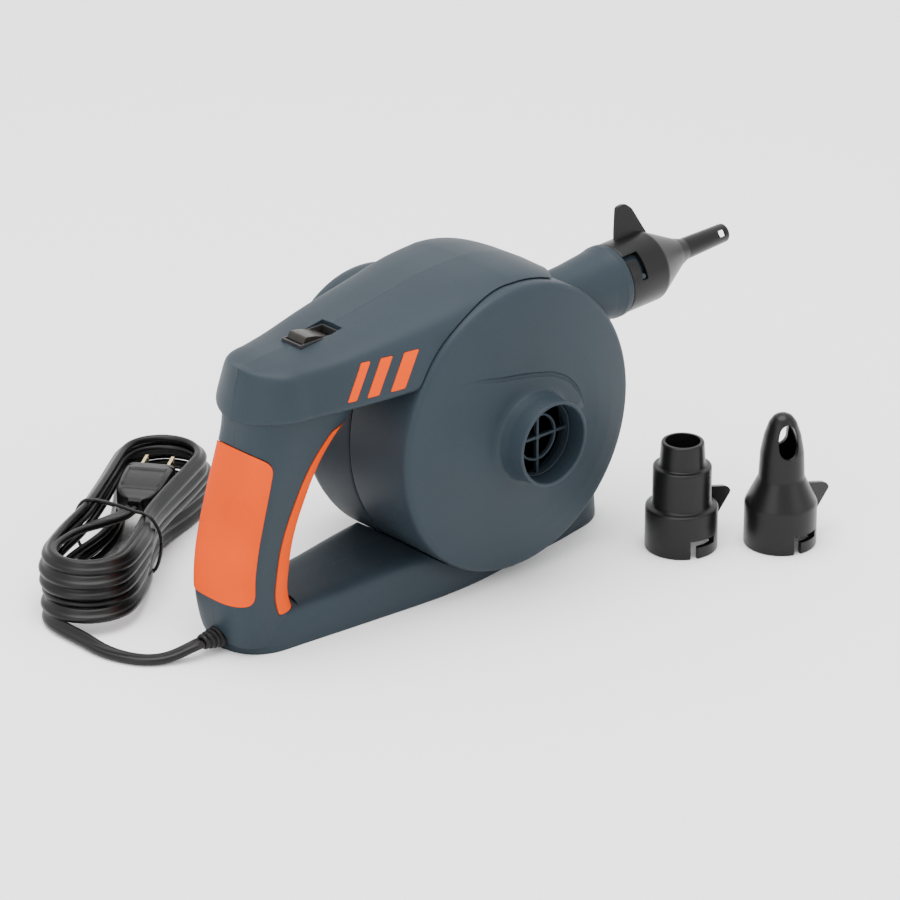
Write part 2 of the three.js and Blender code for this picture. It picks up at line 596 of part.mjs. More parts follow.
// The J-shaped openings for the two lugs: in at one angle, then round to the stop.
function bayonetSlots(entry) {
  const stop = TWIST + THREE.MathUtils.radToDeg((LUG_RADIUS + GAP) / 16);
  const ring = turnedUp([[13, CHANNEL[0]], [20, CHANNEL[0]], [20, CHANNEL[1]], [13, CHANNEL[1]]], 36);
  const wedge = [[0, 0]];
  for (let i = 0; i <= 4; i++) {
    const a = rad((stop * i) / 4);
    wedge.push([26 * Math.cos(a), 26 * Math.sin(a)]);
  }
  const channel = ring.intersect(prismZ(wedge, 0, 20));
  const mouth = box(12, 24, -SLOT_WIDTH / 2, SLOT_WIDTH / 2, -2, CHANNEL[1]);
  return [0, 180].map((half) => join(mouth, channel).rotate([0, 0, entry + half]));
}

function nozzle(outside, inside, finOutline, finAngle, entry) {
  const fin = new THREE.Shape(finOutline.map(([s, radius]) => new THREE.Vector2(radius, s)));
  const blade = new THREE.ExtrudeGeometry(fin, {
    depth: 1.5, bevelEnabled: true, bevelSize: 0.5, bevelThickness: 0.5, bevelSegments: 1,
  });
  const grip = solid(moved(blade, 0, 0, -0.75).rotateX(Math.PI / 2)).rotate([0, 0, finAngle]);
  const socket = turnedUp([[0, -2], [SOCKET_RADIUS, -2], [SOCKET_RADIUS, SOCKET_DEPTH], ...inside], 26);
  return cut(join(turnedUp(outside, 32), grip), socket, ...bayonetSlots(entry));
}

const BASE_EDGE = [[0, 0], [16.9, 0], [NOZZLE_RADIUS, 0.5]];

function narrowNozzle() {
  const outside = [
    ...BASE_EDGE, [NOZZLE_RADIUS, 22.4], [16.8, 23.4], [7.4, 43], [5.9, 46], [5.3, 48.6], [4.6, 74], [4, 75.6],
    [3.2, 76], [0, 76],
  ];
  const inside = [[14, 22], [6, 40], [3.6, 47], [3.6, 80], [0, 80]];
  const body = nozzle(outside, inside, NARROW_FIN, outletAngle(-15), outletAngle(LUG_ANGLE - TWIST));
  const window = box(-10, 10, -1.6, 1.6, 68, 73).rotate([0, 0, outletAngle(60)]);
  return onOutlet(cut(body, window).translate([0, 0, GAP]));
}

function steppedNozzle() {
  const outside = [
    ...BASE_EDGE, [NOZZLE_RADIUS, 20.6], [16.6, 21.6], [15, 22.3], [14, 23.6], [14, 40.6], [13.4, 41.6],
    [12, 42], [11, 43], [10.3, 53.4], [9.6, 54.2], [0, 54.2],
  ];
  const inside = [[12, 22], [12, 39.6], [8.6, 41.6], [8.2, 60], [0, 60]];
  return nozzle(outside, inside, FINGER_FIN, 0, 66.4).translate([82.1, -63.8, 0]);
}

function valveNozzle() {
  const outside = [
    ...BASE_EDGE, [NOZZLE_RADIUS, 20.6], [16.8, 21.5], [11.4, 33.4], [11, 34.6], [10.4, 47], [8.8, 55.6],
    [6.6, 62], [4.4, 65], [1.8, 66.2], [0, 66.4],
  ];
  const inside = [[14, 22], [9, 34], [8.4, 47], [7, 54.6], [4.4, 60.6], [0, 62.8]];
  const body = nozzle(outside, inside, FINGER_FIN, 0, 73.6);
  const half = [[0, 46], [3.4, 47.2], [4.9, 50.6], [4.7, 56.4], [3.2, 61], [0, 63]];
  const eye = prismY([...half, ...half.slice(1, -1).reverse().map(([x, z]) => [-x, z])], -20, 20);
  return cut(body, eye.rotate([0, 0, -24.5])).translate([119.7, -92.3, 0]);
}

// ---- Mains lead -----------------------------------------------------------------------------------

function strainRelief() {
  const x = CORD_EXIT.x;
  const profile = [
    [0, x], [3.4, x], [4, x + 0.6], [4.6, x + 6], [5.2, x + 6], [5.5, x + 9.6], [5.3, x + 10], [5.3, x + 20.8],
    [0, x + 20.8],
  ];
  const lathe = new THREE.LatheGeometry(profile.map(([r, s]) => new THREE.Vector2(r, s)), 20);
  return solid(moved(lathe.rotateZ(-Math.PI / 2), 0, 0, CORD_EXIT.z));
}

function cordClamp() {
  return cut(box(-125.4, -120, -9, 9, 2.9, 13), box(-140, -110, -3, 3, 0, 9));
}

function cordLead() {
  const { x, z } = CORD_EXIT;
  const route = [
    [x - GAP, 0, z], [x - 4, 0, z], [-172, 3, 3.6], [-183, 8, 2.2], [-191.4, 20, 2.2], [-194.6, 33, 2.2],
    LEAD_END,
  ];
  const curve = new THREE.CatmullRomCurve3(route.map((p) => new THREE.Vector3(...p)), false, "centripetal");
  const flat = new THREE.Shape().absellipse(0, 0, 3.5, 1.8, 0, 2 * Math.PI, false, 0);
  const steps = 16;
  return solid(new THREE.ExtrudeGeometry(flat, { extrudePath: curve, steps, curveSegments: 5, bevelEnabled: false }));
}

const inHank = (body) => body.rotate([0, 0, HANK_ANGLE]).translate([HANK_CENTRE.x, HANK_CENTRE.y, 0.3]);
const END_CENTRE = new THREE.Vector2(HANK_HALF_WIDTH - HANK_HALF_LENGTH, 0)
  .rotateAround(new THREE.Vector2(), rad(HANK_ANGLE))
  .add(HANK_CENTRE);
const LEAD_TURN = rad(228);
const LEAD_END = [
  END_CENTRE.x + (HANK_HALF_WIDTH + GAP) * Math.cos(LEAD_TURN),
  END_CENTRE.y + (HANK_HALF_WIDTH + GAP) * Math.sin(LEAD_TURN),
  2.6,
];

function hankBlock(inset) {
  const round = 7;
  const width = HANK_HALF_WIDTH - round - inset;
  const reach = HANK_HALF_LENGTH - HANK_HALF_WIDTH;
  const outline = new THREE.Shape();
  outline.absarc(reach, 0, width, -Math.PI / 2, Math.PI / 2);
  outline.absarc(-reach, 0, width, Math.PI / 2, 1.5 * Math.PI);
  const block = new THREE.ExtrudeGeometry(outline, {
    depth: HANK_HEIGHT - 2 * round - 2 * inset, bevelSize: round, bevelThickness: round, bevelSegments: 3,
    curveSegments: 8,
  });
  return inHank(solid(moved(block, 0, 0, round + inset)));
}

const TIE_AT = [-17, -8];
const tieSlab = (grow) => inHank(box(TIE_AT[0] - grow, TIE_AT[1] + grow, -60, 60, -5, 60));

const atPlug = (body) => body.rotate([0, 0, PLUG_ANGLE]).translate(PLUG_CENTRE.toArray());

function cordHank() {
  const groove = cut(tieSlab(GAP), hankBlock(1.4 + GAP));
  const pocket = atPlug(box(-20 - GAP, 36, -13.4, 13.4, -8.4, 40));
  return cut(hankBlock(0), groove, pocket);
}

const cordTie = () => cut(hankBlock(0).intersect(tieSlab(0)), hankBlock(1.4));

function plugBody() {
  const half = [[-18, 1.4], [-12, 2.2], [-7, 5.4], [-2, 9], [13, 10], [14, 9]];
  const outline = [...half, ...half.map(([x, y]) => [x, -y]).reverse()];
  const body = new THREE.ExtrudeGeometry(new THREE.Shape(outline.map(([x, y]) => new THREE.Vector2(x, y))), {
    depth: 11, bevelSize: 2, bevelThickness: 2, bevelSegments: 2,
  });
  return atPlug(solid(moved(body, 0, 0, -5.5)));
}

const plugBlade = (side) => atPlug(box(16.3, 32.5, side * 6.35 - 0.75, side * 6.35 + 0.75, -3.2, 3.2));

// ---- The part -----------------------------------------------------------------------------------------

const pump = new THREE.Group();
pump.name = "air_mattress_pump";

function add(name, body, look) {
  const mesh = new THREE.Mesh(geometryOf(body), new THREE.MeshStandardMaterial(look));
  mesh.name = name;
  pump.add(mesh);
}

const nearSide = box(-300, 300, -100, -10, -10, 300);
const farSide = box(-300, 300, 10, 100, -10, 300);

add("frame_near_half", frameHalf(-1), BLUE_GREY);
add("frame_far_half", frameHalf(1), BLUE_GREY);
BOSSES.forEach((place, i) => add(`frame_screw_${i + 1}`, frameScrew(place), STEEL));
add("volute_cover", voluteCover(), BLUE_GREY);
add("motor_shell", motorShell(), BLUE_GREY);
add("motor_cap", motorCap(), BLUE_GREY);
CAP_SCREWS.forEach((place, i) => add(`cap_screw_${i + 1}`, capScrew(place), STEEL));
add("inlet_grille", inletGrille(), BLUE_GREY);
add("grip_pad_rear", gripPadSkin.intersect(prismY(rearPadOutline(0), -60, 60)), ORANGE);
add("grip_pad_front", gripPadSkin.intersect(prismY(frontPadOutline(0), -60, 60)), ORANGE);
STRIPES.forEach((stripe, i) => {
  const band = stripeSkin.intersect(prismY(stripeOutline(stripe, 0), -60, 60));
  add(`stripe_near_${i + 1}`, band.intersect(nearSide), ORANGE);
  add(`stripe_far_${i + 1}`, band.intersect(farSide), ORANGE);
});
add("impeller", impeller(), BLACK);
add("impeller_nut", impellerNut(), STEEL);
add("motor_shaft", shaft(), STEEL);
add("motor_plate", motorPlate(), BLACK);
add("front_bearing", bearing(3.7, 9.3, 8), STEEL);
add("rear_bearing", bearing(64.2, 69.2, 6.5), STEEL);
add("stator_core", statorCore(), IRON);
add("field_coil_upper", fieldCoil(0), COPPER);
add("field_coil_lower", fieldCoil(180), COPPER);
add("armature_core", armatureCore(), IRON);
add("armature_winding", armatureWinding(), COPPER);
add("commutator", commutator(), COPPER);
add("cooling_fan", coolingFan(), BLACK);
[0, 180].forEach((turn, i) => {
  add(`brush_${i + 1}`, brush(turn), CARBON);
  add(`brush_holder_${i + 1}`, brushHolder(turn), BRASS);
});
add("motor_bracket", motorBracket(), BLACK);
add("switch_body", switchBody(), BLACK);
add("switch_rocker", rocker(), BLACK);
add("switch_terminal_1", terminal(SWITCH_X - 4), BRASS);
add("switch_terminal_2", terminal(SWITCH_X + 4), BRASS);
add("inner_lead", innerLead(), RUBBER);
add("motor_wire", motorWire(), RUBBER);
add("narrow_nozzle", narrowNozzle(), BLACK);
add("stepped_nozzle", steppedNozzle(), BLACK);
add("valve_nozzle", valveNozzle(), BLACK);
add("cord_clamp", cordClamp(), BLACK);
add("strain_relief", strainRelief(), RUBBER);
add("cord_lead", cordLead(), RUBBER);
add("cord_hank", cordHank(), RUBBER);
add("cord_tie", cordTie(), RUBBER);
add("plug_body", plugBody(), RUBBER);
add("plug_blade_1", plugBlade(1), BRASS);
add("plug_blade_2", plugBlade(-1), BRASS);
pump.children.forEach((mesh) => mesh.geometry.translate(...ORIGIN_SHIFT));

export default pump;
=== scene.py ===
# %% [markdown]
# # An electric air mattress pump
# A drum blower sits in a D-shaped frame with soft orange grips. A rocker switch, a mains lead
# tied in a hank and three bayonet nozzles complete it. All sizes below are millimetres in the
# maker's frame; `place` turns them into metres in the part's own frame.

import bpy
import json
import math
import numpy as np
from mathutils import Matrix, Vector

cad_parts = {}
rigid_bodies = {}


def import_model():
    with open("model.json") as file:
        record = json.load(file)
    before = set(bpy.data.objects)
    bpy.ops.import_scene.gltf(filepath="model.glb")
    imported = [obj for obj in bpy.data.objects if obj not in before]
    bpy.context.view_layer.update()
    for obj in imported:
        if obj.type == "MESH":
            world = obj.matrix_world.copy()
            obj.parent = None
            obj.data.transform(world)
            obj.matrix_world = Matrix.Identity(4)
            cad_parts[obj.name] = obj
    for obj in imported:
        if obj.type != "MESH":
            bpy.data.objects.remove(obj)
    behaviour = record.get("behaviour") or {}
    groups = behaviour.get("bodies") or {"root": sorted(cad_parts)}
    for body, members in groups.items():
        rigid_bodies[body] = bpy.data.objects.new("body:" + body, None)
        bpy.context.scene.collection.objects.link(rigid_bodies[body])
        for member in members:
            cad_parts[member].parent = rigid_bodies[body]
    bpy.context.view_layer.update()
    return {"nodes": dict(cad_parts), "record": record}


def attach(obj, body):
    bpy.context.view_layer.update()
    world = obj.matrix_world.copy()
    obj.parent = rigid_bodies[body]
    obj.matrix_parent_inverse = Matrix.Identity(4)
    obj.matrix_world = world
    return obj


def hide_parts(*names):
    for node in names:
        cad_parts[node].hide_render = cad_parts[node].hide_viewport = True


for thing in list(bpy.data.objects):
    bpy.data.objects.remove(thing)
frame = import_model()
nodes = frame["nodes"]

# %% [markdown]
# ## The maker's frame
# The drum's axis runs along Y. It stands 77 mm above the floor, at X = 0.

# %% Main sizes
SHIFT = np.array([0.2, 16.8, 0.0])
AXIS_Z = 77.0
DRUM_BORE = 70.9
SEAM = 0.03
OUTLET = np.array([77.2, -17.5, 122.7])
OUTLET_RISE = 2.5
HANK_CENTRE = np.array([-121.0, 101.4])
HANK_ANGLE = math.radians(33)
PLUG_CENTRE = np.array([-98.0, 115.2, 24.0])
PLUG_ANGLE = math.radians(37)


def place(points):
    """Maker's millimetres to the part's metres: add the shift, divide by a thousand."""
    return (np.asarray(points, float) + SHIFT) * 0.001


print("drum centre:", place([0, 0, AXIS_Z]))

# %% [markdown]
# ## Camera
# A long lens stands 2.5 m off, low over the handle's end and the inlet side.

# %% Camera
AZIMUTH, ELEVATION, DISTANCE = math.radians(-42.5), math.radians(24.5), 2500.0
view = np.array([
    math.sin(AZIMUTH) * math.cos(ELEVATION),
    -math.cos(AZIMUTH) * math.cos(ELEVATION),
    math.sin(ELEVATION),
])
target = np.array([13.62, 23.04, 41.28])
camera = bpy.data.objects.new("camera", bpy.data.cameras.new("camera"))
bpy.context.collection.objects.link(camera)
camera.location = Vector(place(target + view * DISTANCE))
camera.rotation_mode = "QUATERNION"
camera.rotation_quaternion = Vector(-view).to_track_quat("-Z", "Y")
camera.data.lens, camera.data.sensor_width = 211.5, 36.0
camera.data.clip_start, camera.data.clip_end = 0.1, 20.0
bpy.context.scene.camera = camera
print("camera at", camera.location)

# %% [markdown]
# ## Tools of the workshop
# Every surface is a grid of points made by a formula. A loft is a stack of rings, a turned body is
# a profile swept round an axis, and a prism is an outline with thickness. Stacked rings come first.

# %% Points and faces to an object
def make_object(name, points, faces, in_place=True):
    """A mesh object from points in maker's millimetres; faces turn outwards by signed volume."""
    points = place(points) if in_place else np.asarray(points, float)
    mesh = bpy.data.meshes.new(name)
    mesh.from_pydata(points.tolist(), [], faces)
    mesh.update()
    triangles = np.empty(len(mesh.loop_triangles) * 3, np.int32)
    mesh.loop_triangles.foreach_get("vertices", triangles)
    a, b, c = (points[triangles.reshape(-1, 3)[:, i]] for i in range(3))
    if np.einsum("ij,ij->i", a, np.cross(b, c)).sum() < 0:
        mesh.flip_normals()
    made = bpy.data.objects.new(name, mesh)
    bpy.context.collection.objects.link(made)
    return made


def stack(name, rings, closed=False):
    """Rings of equal count become quads; the ends close on their middle points or each other."""
    rows, count = rings.shape[:2]
    points = rings.reshape(-1, 3)
    i, j = np.meshgrid(np.arange(rows if closed else rows - 1), np.arange(count), indexing="ij")
    here, side = i * count + j, i * count + (j + 1) % count
    after, after_side = (here + count) % (rows * count), (side + count) % (rows * count)
    faces = np.stack([here, side, after_side, after], -1).reshape(-1, 4).tolist()
    if not closed:
        points = np.vstack([points, rings[0].mean(0), rings[-1].mean(0)])
        first, last = rows * count, rows * count + 1
        base = (rows - 1) * count
        for k in range(count):
            faces.append([first, (k + 1) % count, k])
            faces.append([last, base + k, base + (k + 1) % count])
    return make_object(name, points, faces)


print("rings can be stacked")

# %% [markdown]
# ### Round bodies
# Moulded parts have no knife edges, so each profile's corners are rounded before it is swept. A short
# parabola is used instead of a true arc: it needs no tangent points and never overshoots.

# %% Turned bodies
def fillet(outline, radius, closed=False, steps=5):
    """Rounds an outline's corners: each corner becomes a short parabola that leaves it early."""
    outline = [np.asarray(p, float) for p in outline]
    made = []
    for k, here in enumerate(outline):
        if not closed and k in (0, len(outline) - 1):
            made.append(here)
            continue
        before, after = outline[k - 1], outline[(k + 1) % len(outline)]
        reach_in = min(radius, 0.45 * np.linalg.norm(before - here))
        reach_out = min(radius, 0.45 * np.linalg.norm(after - here))
        start = here + (before - here) / np.linalg.norm(before - here) * reach_in
        end = here + (after - here) / np.linalg.norm(after - here) * reach_out
        for t in np.linspace(0, 1, steps):
            made.append((1 - t) ** 2 * start + 2 * t * (1 - t) * here + t**2 * end)
    return np.array(made)


def sweep_round(name, profile, sides, to_point):
    """A profile of [radius, height] swept round; to_point(radius, angle, height) places it.
    A profile that starts on the axis ends on it too, and its ends become single points."""
    profile = np.asarray(profile, float)
    on_axis = profile[0, 0] < 1e-6
    body = profile[1:-1] if on_axis else profile
    angles = np.linspace(0, 2 * np.pi, sides, endpoint=False)
    rings = to_point(body[:, :1], angles[None, :], body[:, 1:])
    return stack(name, rings, closed=not on_axis)


def turned_y(name, profile, sides=144, smooth=0.5):
    """A body turned about the drum's axis: the angle runs from +X towards +Z."""
    rounded = fillet(profile, smooth, closed=profile[0][0] > 1e-6)
    return sweep_round(name, rounded, sides, lambda r, a, y: np.stack(
        [r * np.cos(a), y + 0 * a, AXIS_Z + r * np.sin(a)], -1))


def turned_z(name, profile, sides=96, smooth=0.5, centre=(0, 0, 0)):
    """A body turned about an upright axis through the centre point."""
    rounded = fillet(profile, smooth, closed=profile[0][0] > 1e-6)
    return sweep_round(name, rounded, sides, lambda r, a, z: np.stack(
        [centre[0] + r * np.cos(a), centre[1] + r * np.sin(a), centre[2] + z + 0 * a], -1))


print("profiles can be turned")

# %% [markdown]
# ### Flat-sided bodies
# Fins, slots and cutters are outlines with thickness. Modelling them by hand would do, but a formula
# keeps each one at the place that the drum or the grip gives.

# %% Prisms and blocks
def prism(name, outline, low, high, axis="y"):
    """An outline carried along an axis. It is [x, z] across Y, or [x, y] up Z."""
    outline = np.asarray(outline, float)
    levels = [np.full(len(outline), low), np.full(len(outline), high)]
    order = (0, 2, 1) if axis == "y" else (0, 1, 2)
    ends = [np.stack([outline[:, 0], outline[:, 1], level], -1)[:, order] for level in levels]
    count = len(outline)
    faces = [list(range(count)), list(range(2 * count - 1, count - 1, -1))]
    for k in range(count):
        after = (k + 1) % count
        faces.append([k, k + count, after + count, after])
    return make_object(name, np.vstack(ends), faces)


def block(name, low, high):
    """A plain cutter with flat sides."""
    (x0, y0, z0), (x1, y1, z1) = low, high
    return prism(name, [[x0, y0], [x1, y0], [x1, y1], [x0, y1]], z0, z1, axis="z")


print("outlines can be thickened")

# %% [markdown]
# ### Joining and cutting
# A mould leaves one skin where two shapes meet. Booleans give that skin, and baking them at once keeps
# every finished piece a plain mesh at the origin.

# %% Booleans
def turn_about(obj, axis_point, axis, degrees):
    """Turns an object's mesh about a line in maker's millimetres."""
    centre = Vector(place(axis_point))
    turn = Matrix.Rotation(math.radians(degrees), 4, Vector(axis))
    obj.data.transform(Matrix.Translation(centre) @ turn @ Matrix.Translation(-centre))
    return obj


def bake(obj):
    """Replaces an object's mesh by the result of its modifiers."""
    graph = bpy.context.evaluated_depsgraph_get()
    baked = bpy.data.meshes.new_from_object(obj.evaluated_get(graph))
    obj.modifiers.clear()
    obj.data = baked
    return obj


def combine(obj, steps):
    """Joins, cuts or keeps with other bodies: steps are (operation, body)."""
    for operation, other in steps:
        cut = obj.modifiers.new(operation.lower(), "BOOLEAN")
        cut.operation, cut.object, cut.solver = operation, other, "MANIFOLD"
    bake(obj)
    for other in {id(o): o for _, o in steps}.values():
        if not other.get("keep"):
            bpy.data.objects.remove(other)
    return obj


def copy_of(obj, name):
    """A second object with its own copy of the mesh."""
    made = bpy.data.objects.new(name, obj.data.copy())
    bpy.context.collection.objects.link(made)
    return made


print("bodies can be joined and cut")

# %% [markdown]
# ### Finishing
# Each piece gets its finish, rides on the body that carries it in real life, and shades smoothly over
# gentle bends. Tables of measurements are read through a cubic, so that surfaces stay fair.

# %% Finishing and tables
def finish_piece(obj, body, material, angle=32):
    """Smooths what bends gently, gives the material and slot, and lets the piece ride on its body."""
    obj.data.materials.clear()
    obj.data.materials.append(material)
    obj.data.shade_smooth()
    obj.data.set_sharp_from_angle(angle=math.radians(angle))
    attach(obj, body)
    return obj


def along(table, x):
    """Smooth value in a table of [place, value]: a cubic whose slopes are the neighbours' chord."""
    table = np.asarray(table, float)
    p, v = table[:, 0], table[:, 1]
    slope = np.gradient(v, p)
    x = np.clip(x, p[0], p[-1])
    k = np.clip(np.searchsorted(p, x) - 1, 0, len(p) - 2)
    h = p[k + 1] - p[k]
    t = (x - p[k]) / h
    return ((2 * t**3 - 3 * t**2 + 1) * v[k] + (t**3 - 2 * t**2 + t) * h * slope[k]
            + (3 * t**2 - 2 * t**3) * v[k + 1] + (t**3 - t**2) * h * slope[k + 1])


def soften(value, power):
    """cos or sin to a power with its sign kept: a rounded rectangle's corner."""
    return np.sign(value) * np.abs(value) ** power


print("tools ready")

# %% [markdown]
# ## Materials
# Moulded plastic has a fine spark-eroded grain and slow colour drift; convex edges get a painted
# highlight. One recipe makes every finish, from the slate body and soft orange pads to brass and steel:
# images would need seams, while noise on object coordinates covers any shape.

# %% Materials
def moulded(name, colour, rough=0.55, grain=0.35, grain_size=2600.0, edge_highlight=0.12, bump=0.00012,
            metal=0.0, soft=0.0004, coat=0.0, shine=0.5):
    """Object-space noise drives colour, roughness and bump; pointiness paints a paler highlight on convex
    edges.
    """
    material = bpy.data.materials.new(name)
    material.use_nodes = True
    tree = material.node_tree
    new, link = tree.nodes.new, tree.links.new
    shader = tree.nodes["Principled BSDF"]
    where = new("ShaderNodeTexCoord")
    drift = new("ShaderNodeTexNoise")
    drift.inputs["Scale"].default_value = 24.0
    drift.inputs["Detail"].default_value = 5.0
    fine = new("ShaderNodeTexNoise")
    fine.inputs["Scale"].default_value = grain_size
    fine.inputs["Detail"].default_value = 2.0
    for texture in (drift, fine):
        link(where.outputs["Object"], texture.inputs["Vector"])
    tint = new("ShaderNodeValToRGB")
    for stop, position, factor in zip(tint.color_ramp.elements, (0.3, 0.7), (0.9, 1.1)):
        stop.position = position
        stop.color = [min(1.0, c * factor) for c in colour] + [1]
    link(drift.outputs["Fac"], tint.inputs["Fac"])
    # Painted highlight on convex edges: where pointiness is high, the colour is mixed towards a paler one.
    shape = new("ShaderNodeNewGeometry")
    edge = new("ShaderNodeMapRange")
    edge.inputs["From Min"].default_value, edge.inputs["From Max"].default_value = 0.52, 0.62
    edge.inputs["To Max"].default_value = edge_highlight
    link(shape.outputs["Pointiness"], edge.inputs["Value"])
    edge_highlight_mix = new("ShaderNodeMix")
    edge_highlight_mix.data_type = "RGBA"
    edge_highlight_mix.inputs[7].default_value = [min(1.0, c * 1.9 + 0.05) for c in colour] + [1]
    link(edge.outputs["Result"], edge_highlight_mix.inputs["Factor"])
    link(tint.outputs["Color"], edge_highlight_mix.inputs[6])
    link(edge_highlight_mix.outputs[2], shader.inputs["Base Color"])
    rub = new("ShaderNodeMapRange")
    rub.inputs["To Min"].default_value = rough - 0.06
    rub.inputs["To Max"].default_value = rough + 0.08
    link(drift.outputs["Fac"], rub.inputs["Value"])
    link(rub.outputs["Result"], shader.inputs["Roughness"])
    rounded = new("ShaderNodeBevel")
    rounded.samples = 4
    rounded.inputs["Radius"].default_value = soft
    relief = new("ShaderNodeBump")
    relief.inputs["Strength"].default_value = grain
    relief.inputs["Distance"].default_value = bump
    link(fine.outputs["Fac"], relief.inputs["Height"])
    link(rounded.outputs["Normal"], relief.inputs["Normal"])
    link(relief.outputs["Normal"], shader.inputs["Normal"])
    shader.inputs["Metallic"].default_value = metal
    shader.inputs["Coat Weight"].default_value = coat
    shader.inputs["Specular IOR Level"].default_value = shine
    return material


body_plastic = moulded("body_plastic", (0.0145, 0.0235, 0.0315), rough=0.5, grain=0.5,
                       grain_size=1500.0, edge_highlight=0.04, shine=0.2)
orange_grip = moulded("orange_grip", (0.62, 0.056, 0.0), rough=0.65, grain=0.4, edge_highlight=0.0, shine=0.05)
nozzle_plastic = moulded("nozzle_plastic", (0.004, 0.004, 0.004), rough=0.3, grain=0.3, edge_highlight=0.01,
                         shine=0.22)
black_plastic = moulded("black_plastic", (0.015, 0.015, 0.016), rough=0.5)
switch_gloss = moulded("switch_gloss", (0.010, 0.008, 0.006), rough=0.3, grain=0.1, edge_highlight=0.02,
                       shine=0.3)
cord_vinyl = moulded("cord_vinyl", (0.0025, 0.0025, 0.0025), rough=0.34, grain=0.25,
                     grain_size=900.0, edge_highlight=0.01, shine=0.25)
steel = moulded("steel", (0.62, 0.63, 0.65), rough=0.3, metal=1.0, grain=0.2)
iron = moulded("iron", (0.28, 0.29, 0.30), rough=0.5, metal=1.0, grain=0.5)
copper = moulded("copper", (0.62, 0.25, 0.10), rough=0.35, metal=1.0)
brass = moulded("brass", (0.78, 0.60, 0.32), rough=0.25, metal=1.0)
carbon = moulded("carbon", (0.02, 0.02, 0.02), rough=0.8)
FINISHES = {
    "body_plastic": body_plastic, "orange_grip": orange_grip, "nozzle_plastic": nozzle_plastic,
    "black_plastic": black_plastic, "switch_gloss": switch_gloss, "cord_vinyl": cord_vinyl,
    "steel": steel, "iron": iron, "copper": copper, "brass": brass, "carbon": carbon,
}
for part in frame["record"]["subparts"]:
    obj = nodes[part["node"]]
    for k in range(len(obj.material_slots)):
        obj.material_slots[k].material = FINISHES[part["material_slot"]]
print(len(FINISHES), "materials")

# %% [markdown]
# ## The mains lead
# A lead has a fixed length and lies under its own weight, so its route is settled before its surface.
# The lead leaves the handle's foot, drops to the floor, bends round and joins the hank. Its turns
# lie in one stack of six, clockwise seen from above, pinched by the tie and fanned at the near end.
# The last turn leads to the plug.

# %% The lead's centreline
def hank_point(x, y, z):
    """A point of the hank's own frame, along its length, across it and up, in maker's millimetres."""
    c, s = math.cos(HANK_ANGLE), math.sin(HANK_ANGLE)
    return np.stack([HANK_CENTRE[0] + c * x - s * y, HANK_CENTRE[1] + s * x + c * y, z + 0 * x], -1)


def stadium(turn, half_length, half_width):
    """Where a fraction of a turn lies on a long loop with round ends, clockwise from its left tip."""
    straight = 2 * (half_length - half_width)
    arc = math.pi * half_width
    way = (turn % 1.0) * (2 * straight + 2 * arc)
    reach = half_length - half_width
    if way < arc / 2:
        a = math.pi - way / half_width
        return -reach + half_width * math.cos(a), half_width * math.sin(a)
    way -= arc / 2
    if way < straight:
        return -reach + way, half_width
    way -= straight
    if way < arc:
        a = math.pi / 2 - way / half_width
        return reach + half_width * math.cos(a), half_width * math.sin(a)
    way -= arc
    if way < straight:
        return reach - way, -half_width
    a = -math.pi / 2 - (way - straight) / half_width
    return -reach + half_width * math.cos(a), half_width * math.sin(a)


LEAD = [
    [-160.5, 0, 6.8], [-164, 0.2, 6.5], [-170, 2.4, 4.4], [-177, 5.6, 2.6], [-183.6, 10.4, 2.2],
    [-188.2, 17, 2.2], [-191.2, 24.6, 2.3], [-192.8, 33, 2.7], [-193, 41, 3.2],
]
TURNS, JOIN, TOP_LAYER = 6.0, 0.06, 5
FIRST_HEIGHT, LAYER_RISE = 3.5, 5.0
LOOP_HALF_LENGTH, LOOP_HALF_WIDTH = 78.5, 20.0


# Millimetres each layer, from the lowest up, is drawn in at the near tip, and moved aside there.
NEAR_TIP = (-1.0, 0.0, 0.0, 1.5, 4.5, 8.0)
SIDEWAYS = (-3.0, -2.2, -0.8, 0.0, 0.6, 0.0)


def waist(x, layer):
    """How far the tie and the plug's weight press a layer's straight runs in, bell-shaped along x."""
    pressed = (9.5, 9.0, 9.5, 3.2, 2.6, 2.2)[layer] * math.exp(-(((x - 10) / 32) ** 2))
    return pressed + 1.4 * math.exp(-(((x + 14) / 18) ** 2))


points, rolls = [np.array(p, float) for p in LEAD], [0, 0, 0, 0, 0, 2, 8, 18, 32]
for turn in np.arange(JOIN, TURNS + 0.075, 1 / 40):
    layer = min(int(turn), TOP_LAYER)
    ease = np.clip((turn - layer - 0.62) / 0.3, 0, 1)
    ease = ease * ease * (3 - 2 * ease)
    wander = 2.6 * math.sin(5.1 * turn + 1.3) + 1.8 * math.sin(2.3 * turn)
    inward = 2.6 * np.clip((turn - 5.45) / 0.4, 0, 1)
    x, y = stadium(turn, LOOP_HALF_LENGTH + wander - inward, LOOP_HALF_WIDTH - inward)
    above = min(layer + 1, TOP_LAYER)
    pinch = waist(x, layer) * (1 - ease) + waist(x, above) * ease
    y -= np.sign(y) * pinch * min(1, abs(y) / 12)
    near = float(np.clip((58 - x) / 116, 0, 1))
    x += near * (NEAR_TIP[layer] * (1 - ease) + NEAR_TIP[above] * ease)
    y += near * (SIDEWAYS[layer] * (1 - ease) + SIDEWAYS[above] * ease)
    height = FIRST_HEIGHT + LAYER_RISE * (layer + ease * (layer < TOP_LAYER))
    points.append(hank_point(np.float64(x), np.float64(y), height + 0.35 * math.sin(7.7 * turn)))
    rolls.append(48 + 4 * math.sin(4.3 * turn))
TAIL = [
    (-41, 15.4, 28.2, 40), (-31, 12.2, 27.6, 28), (-20.5, 7.4, 26.4, 12), (-10.5, 2.8, 25.2, 3),
    (-2, -0.2, 24.2, 0), (5, -1.4, 24.0, 0),
]
for x, y, z, roll in TAIL:
    points.append(hank_point(np.float64(x), np.float64(y), z))
    rolls.append(roll)
points = np.array(points)
rolls = np.array(rolls, float)


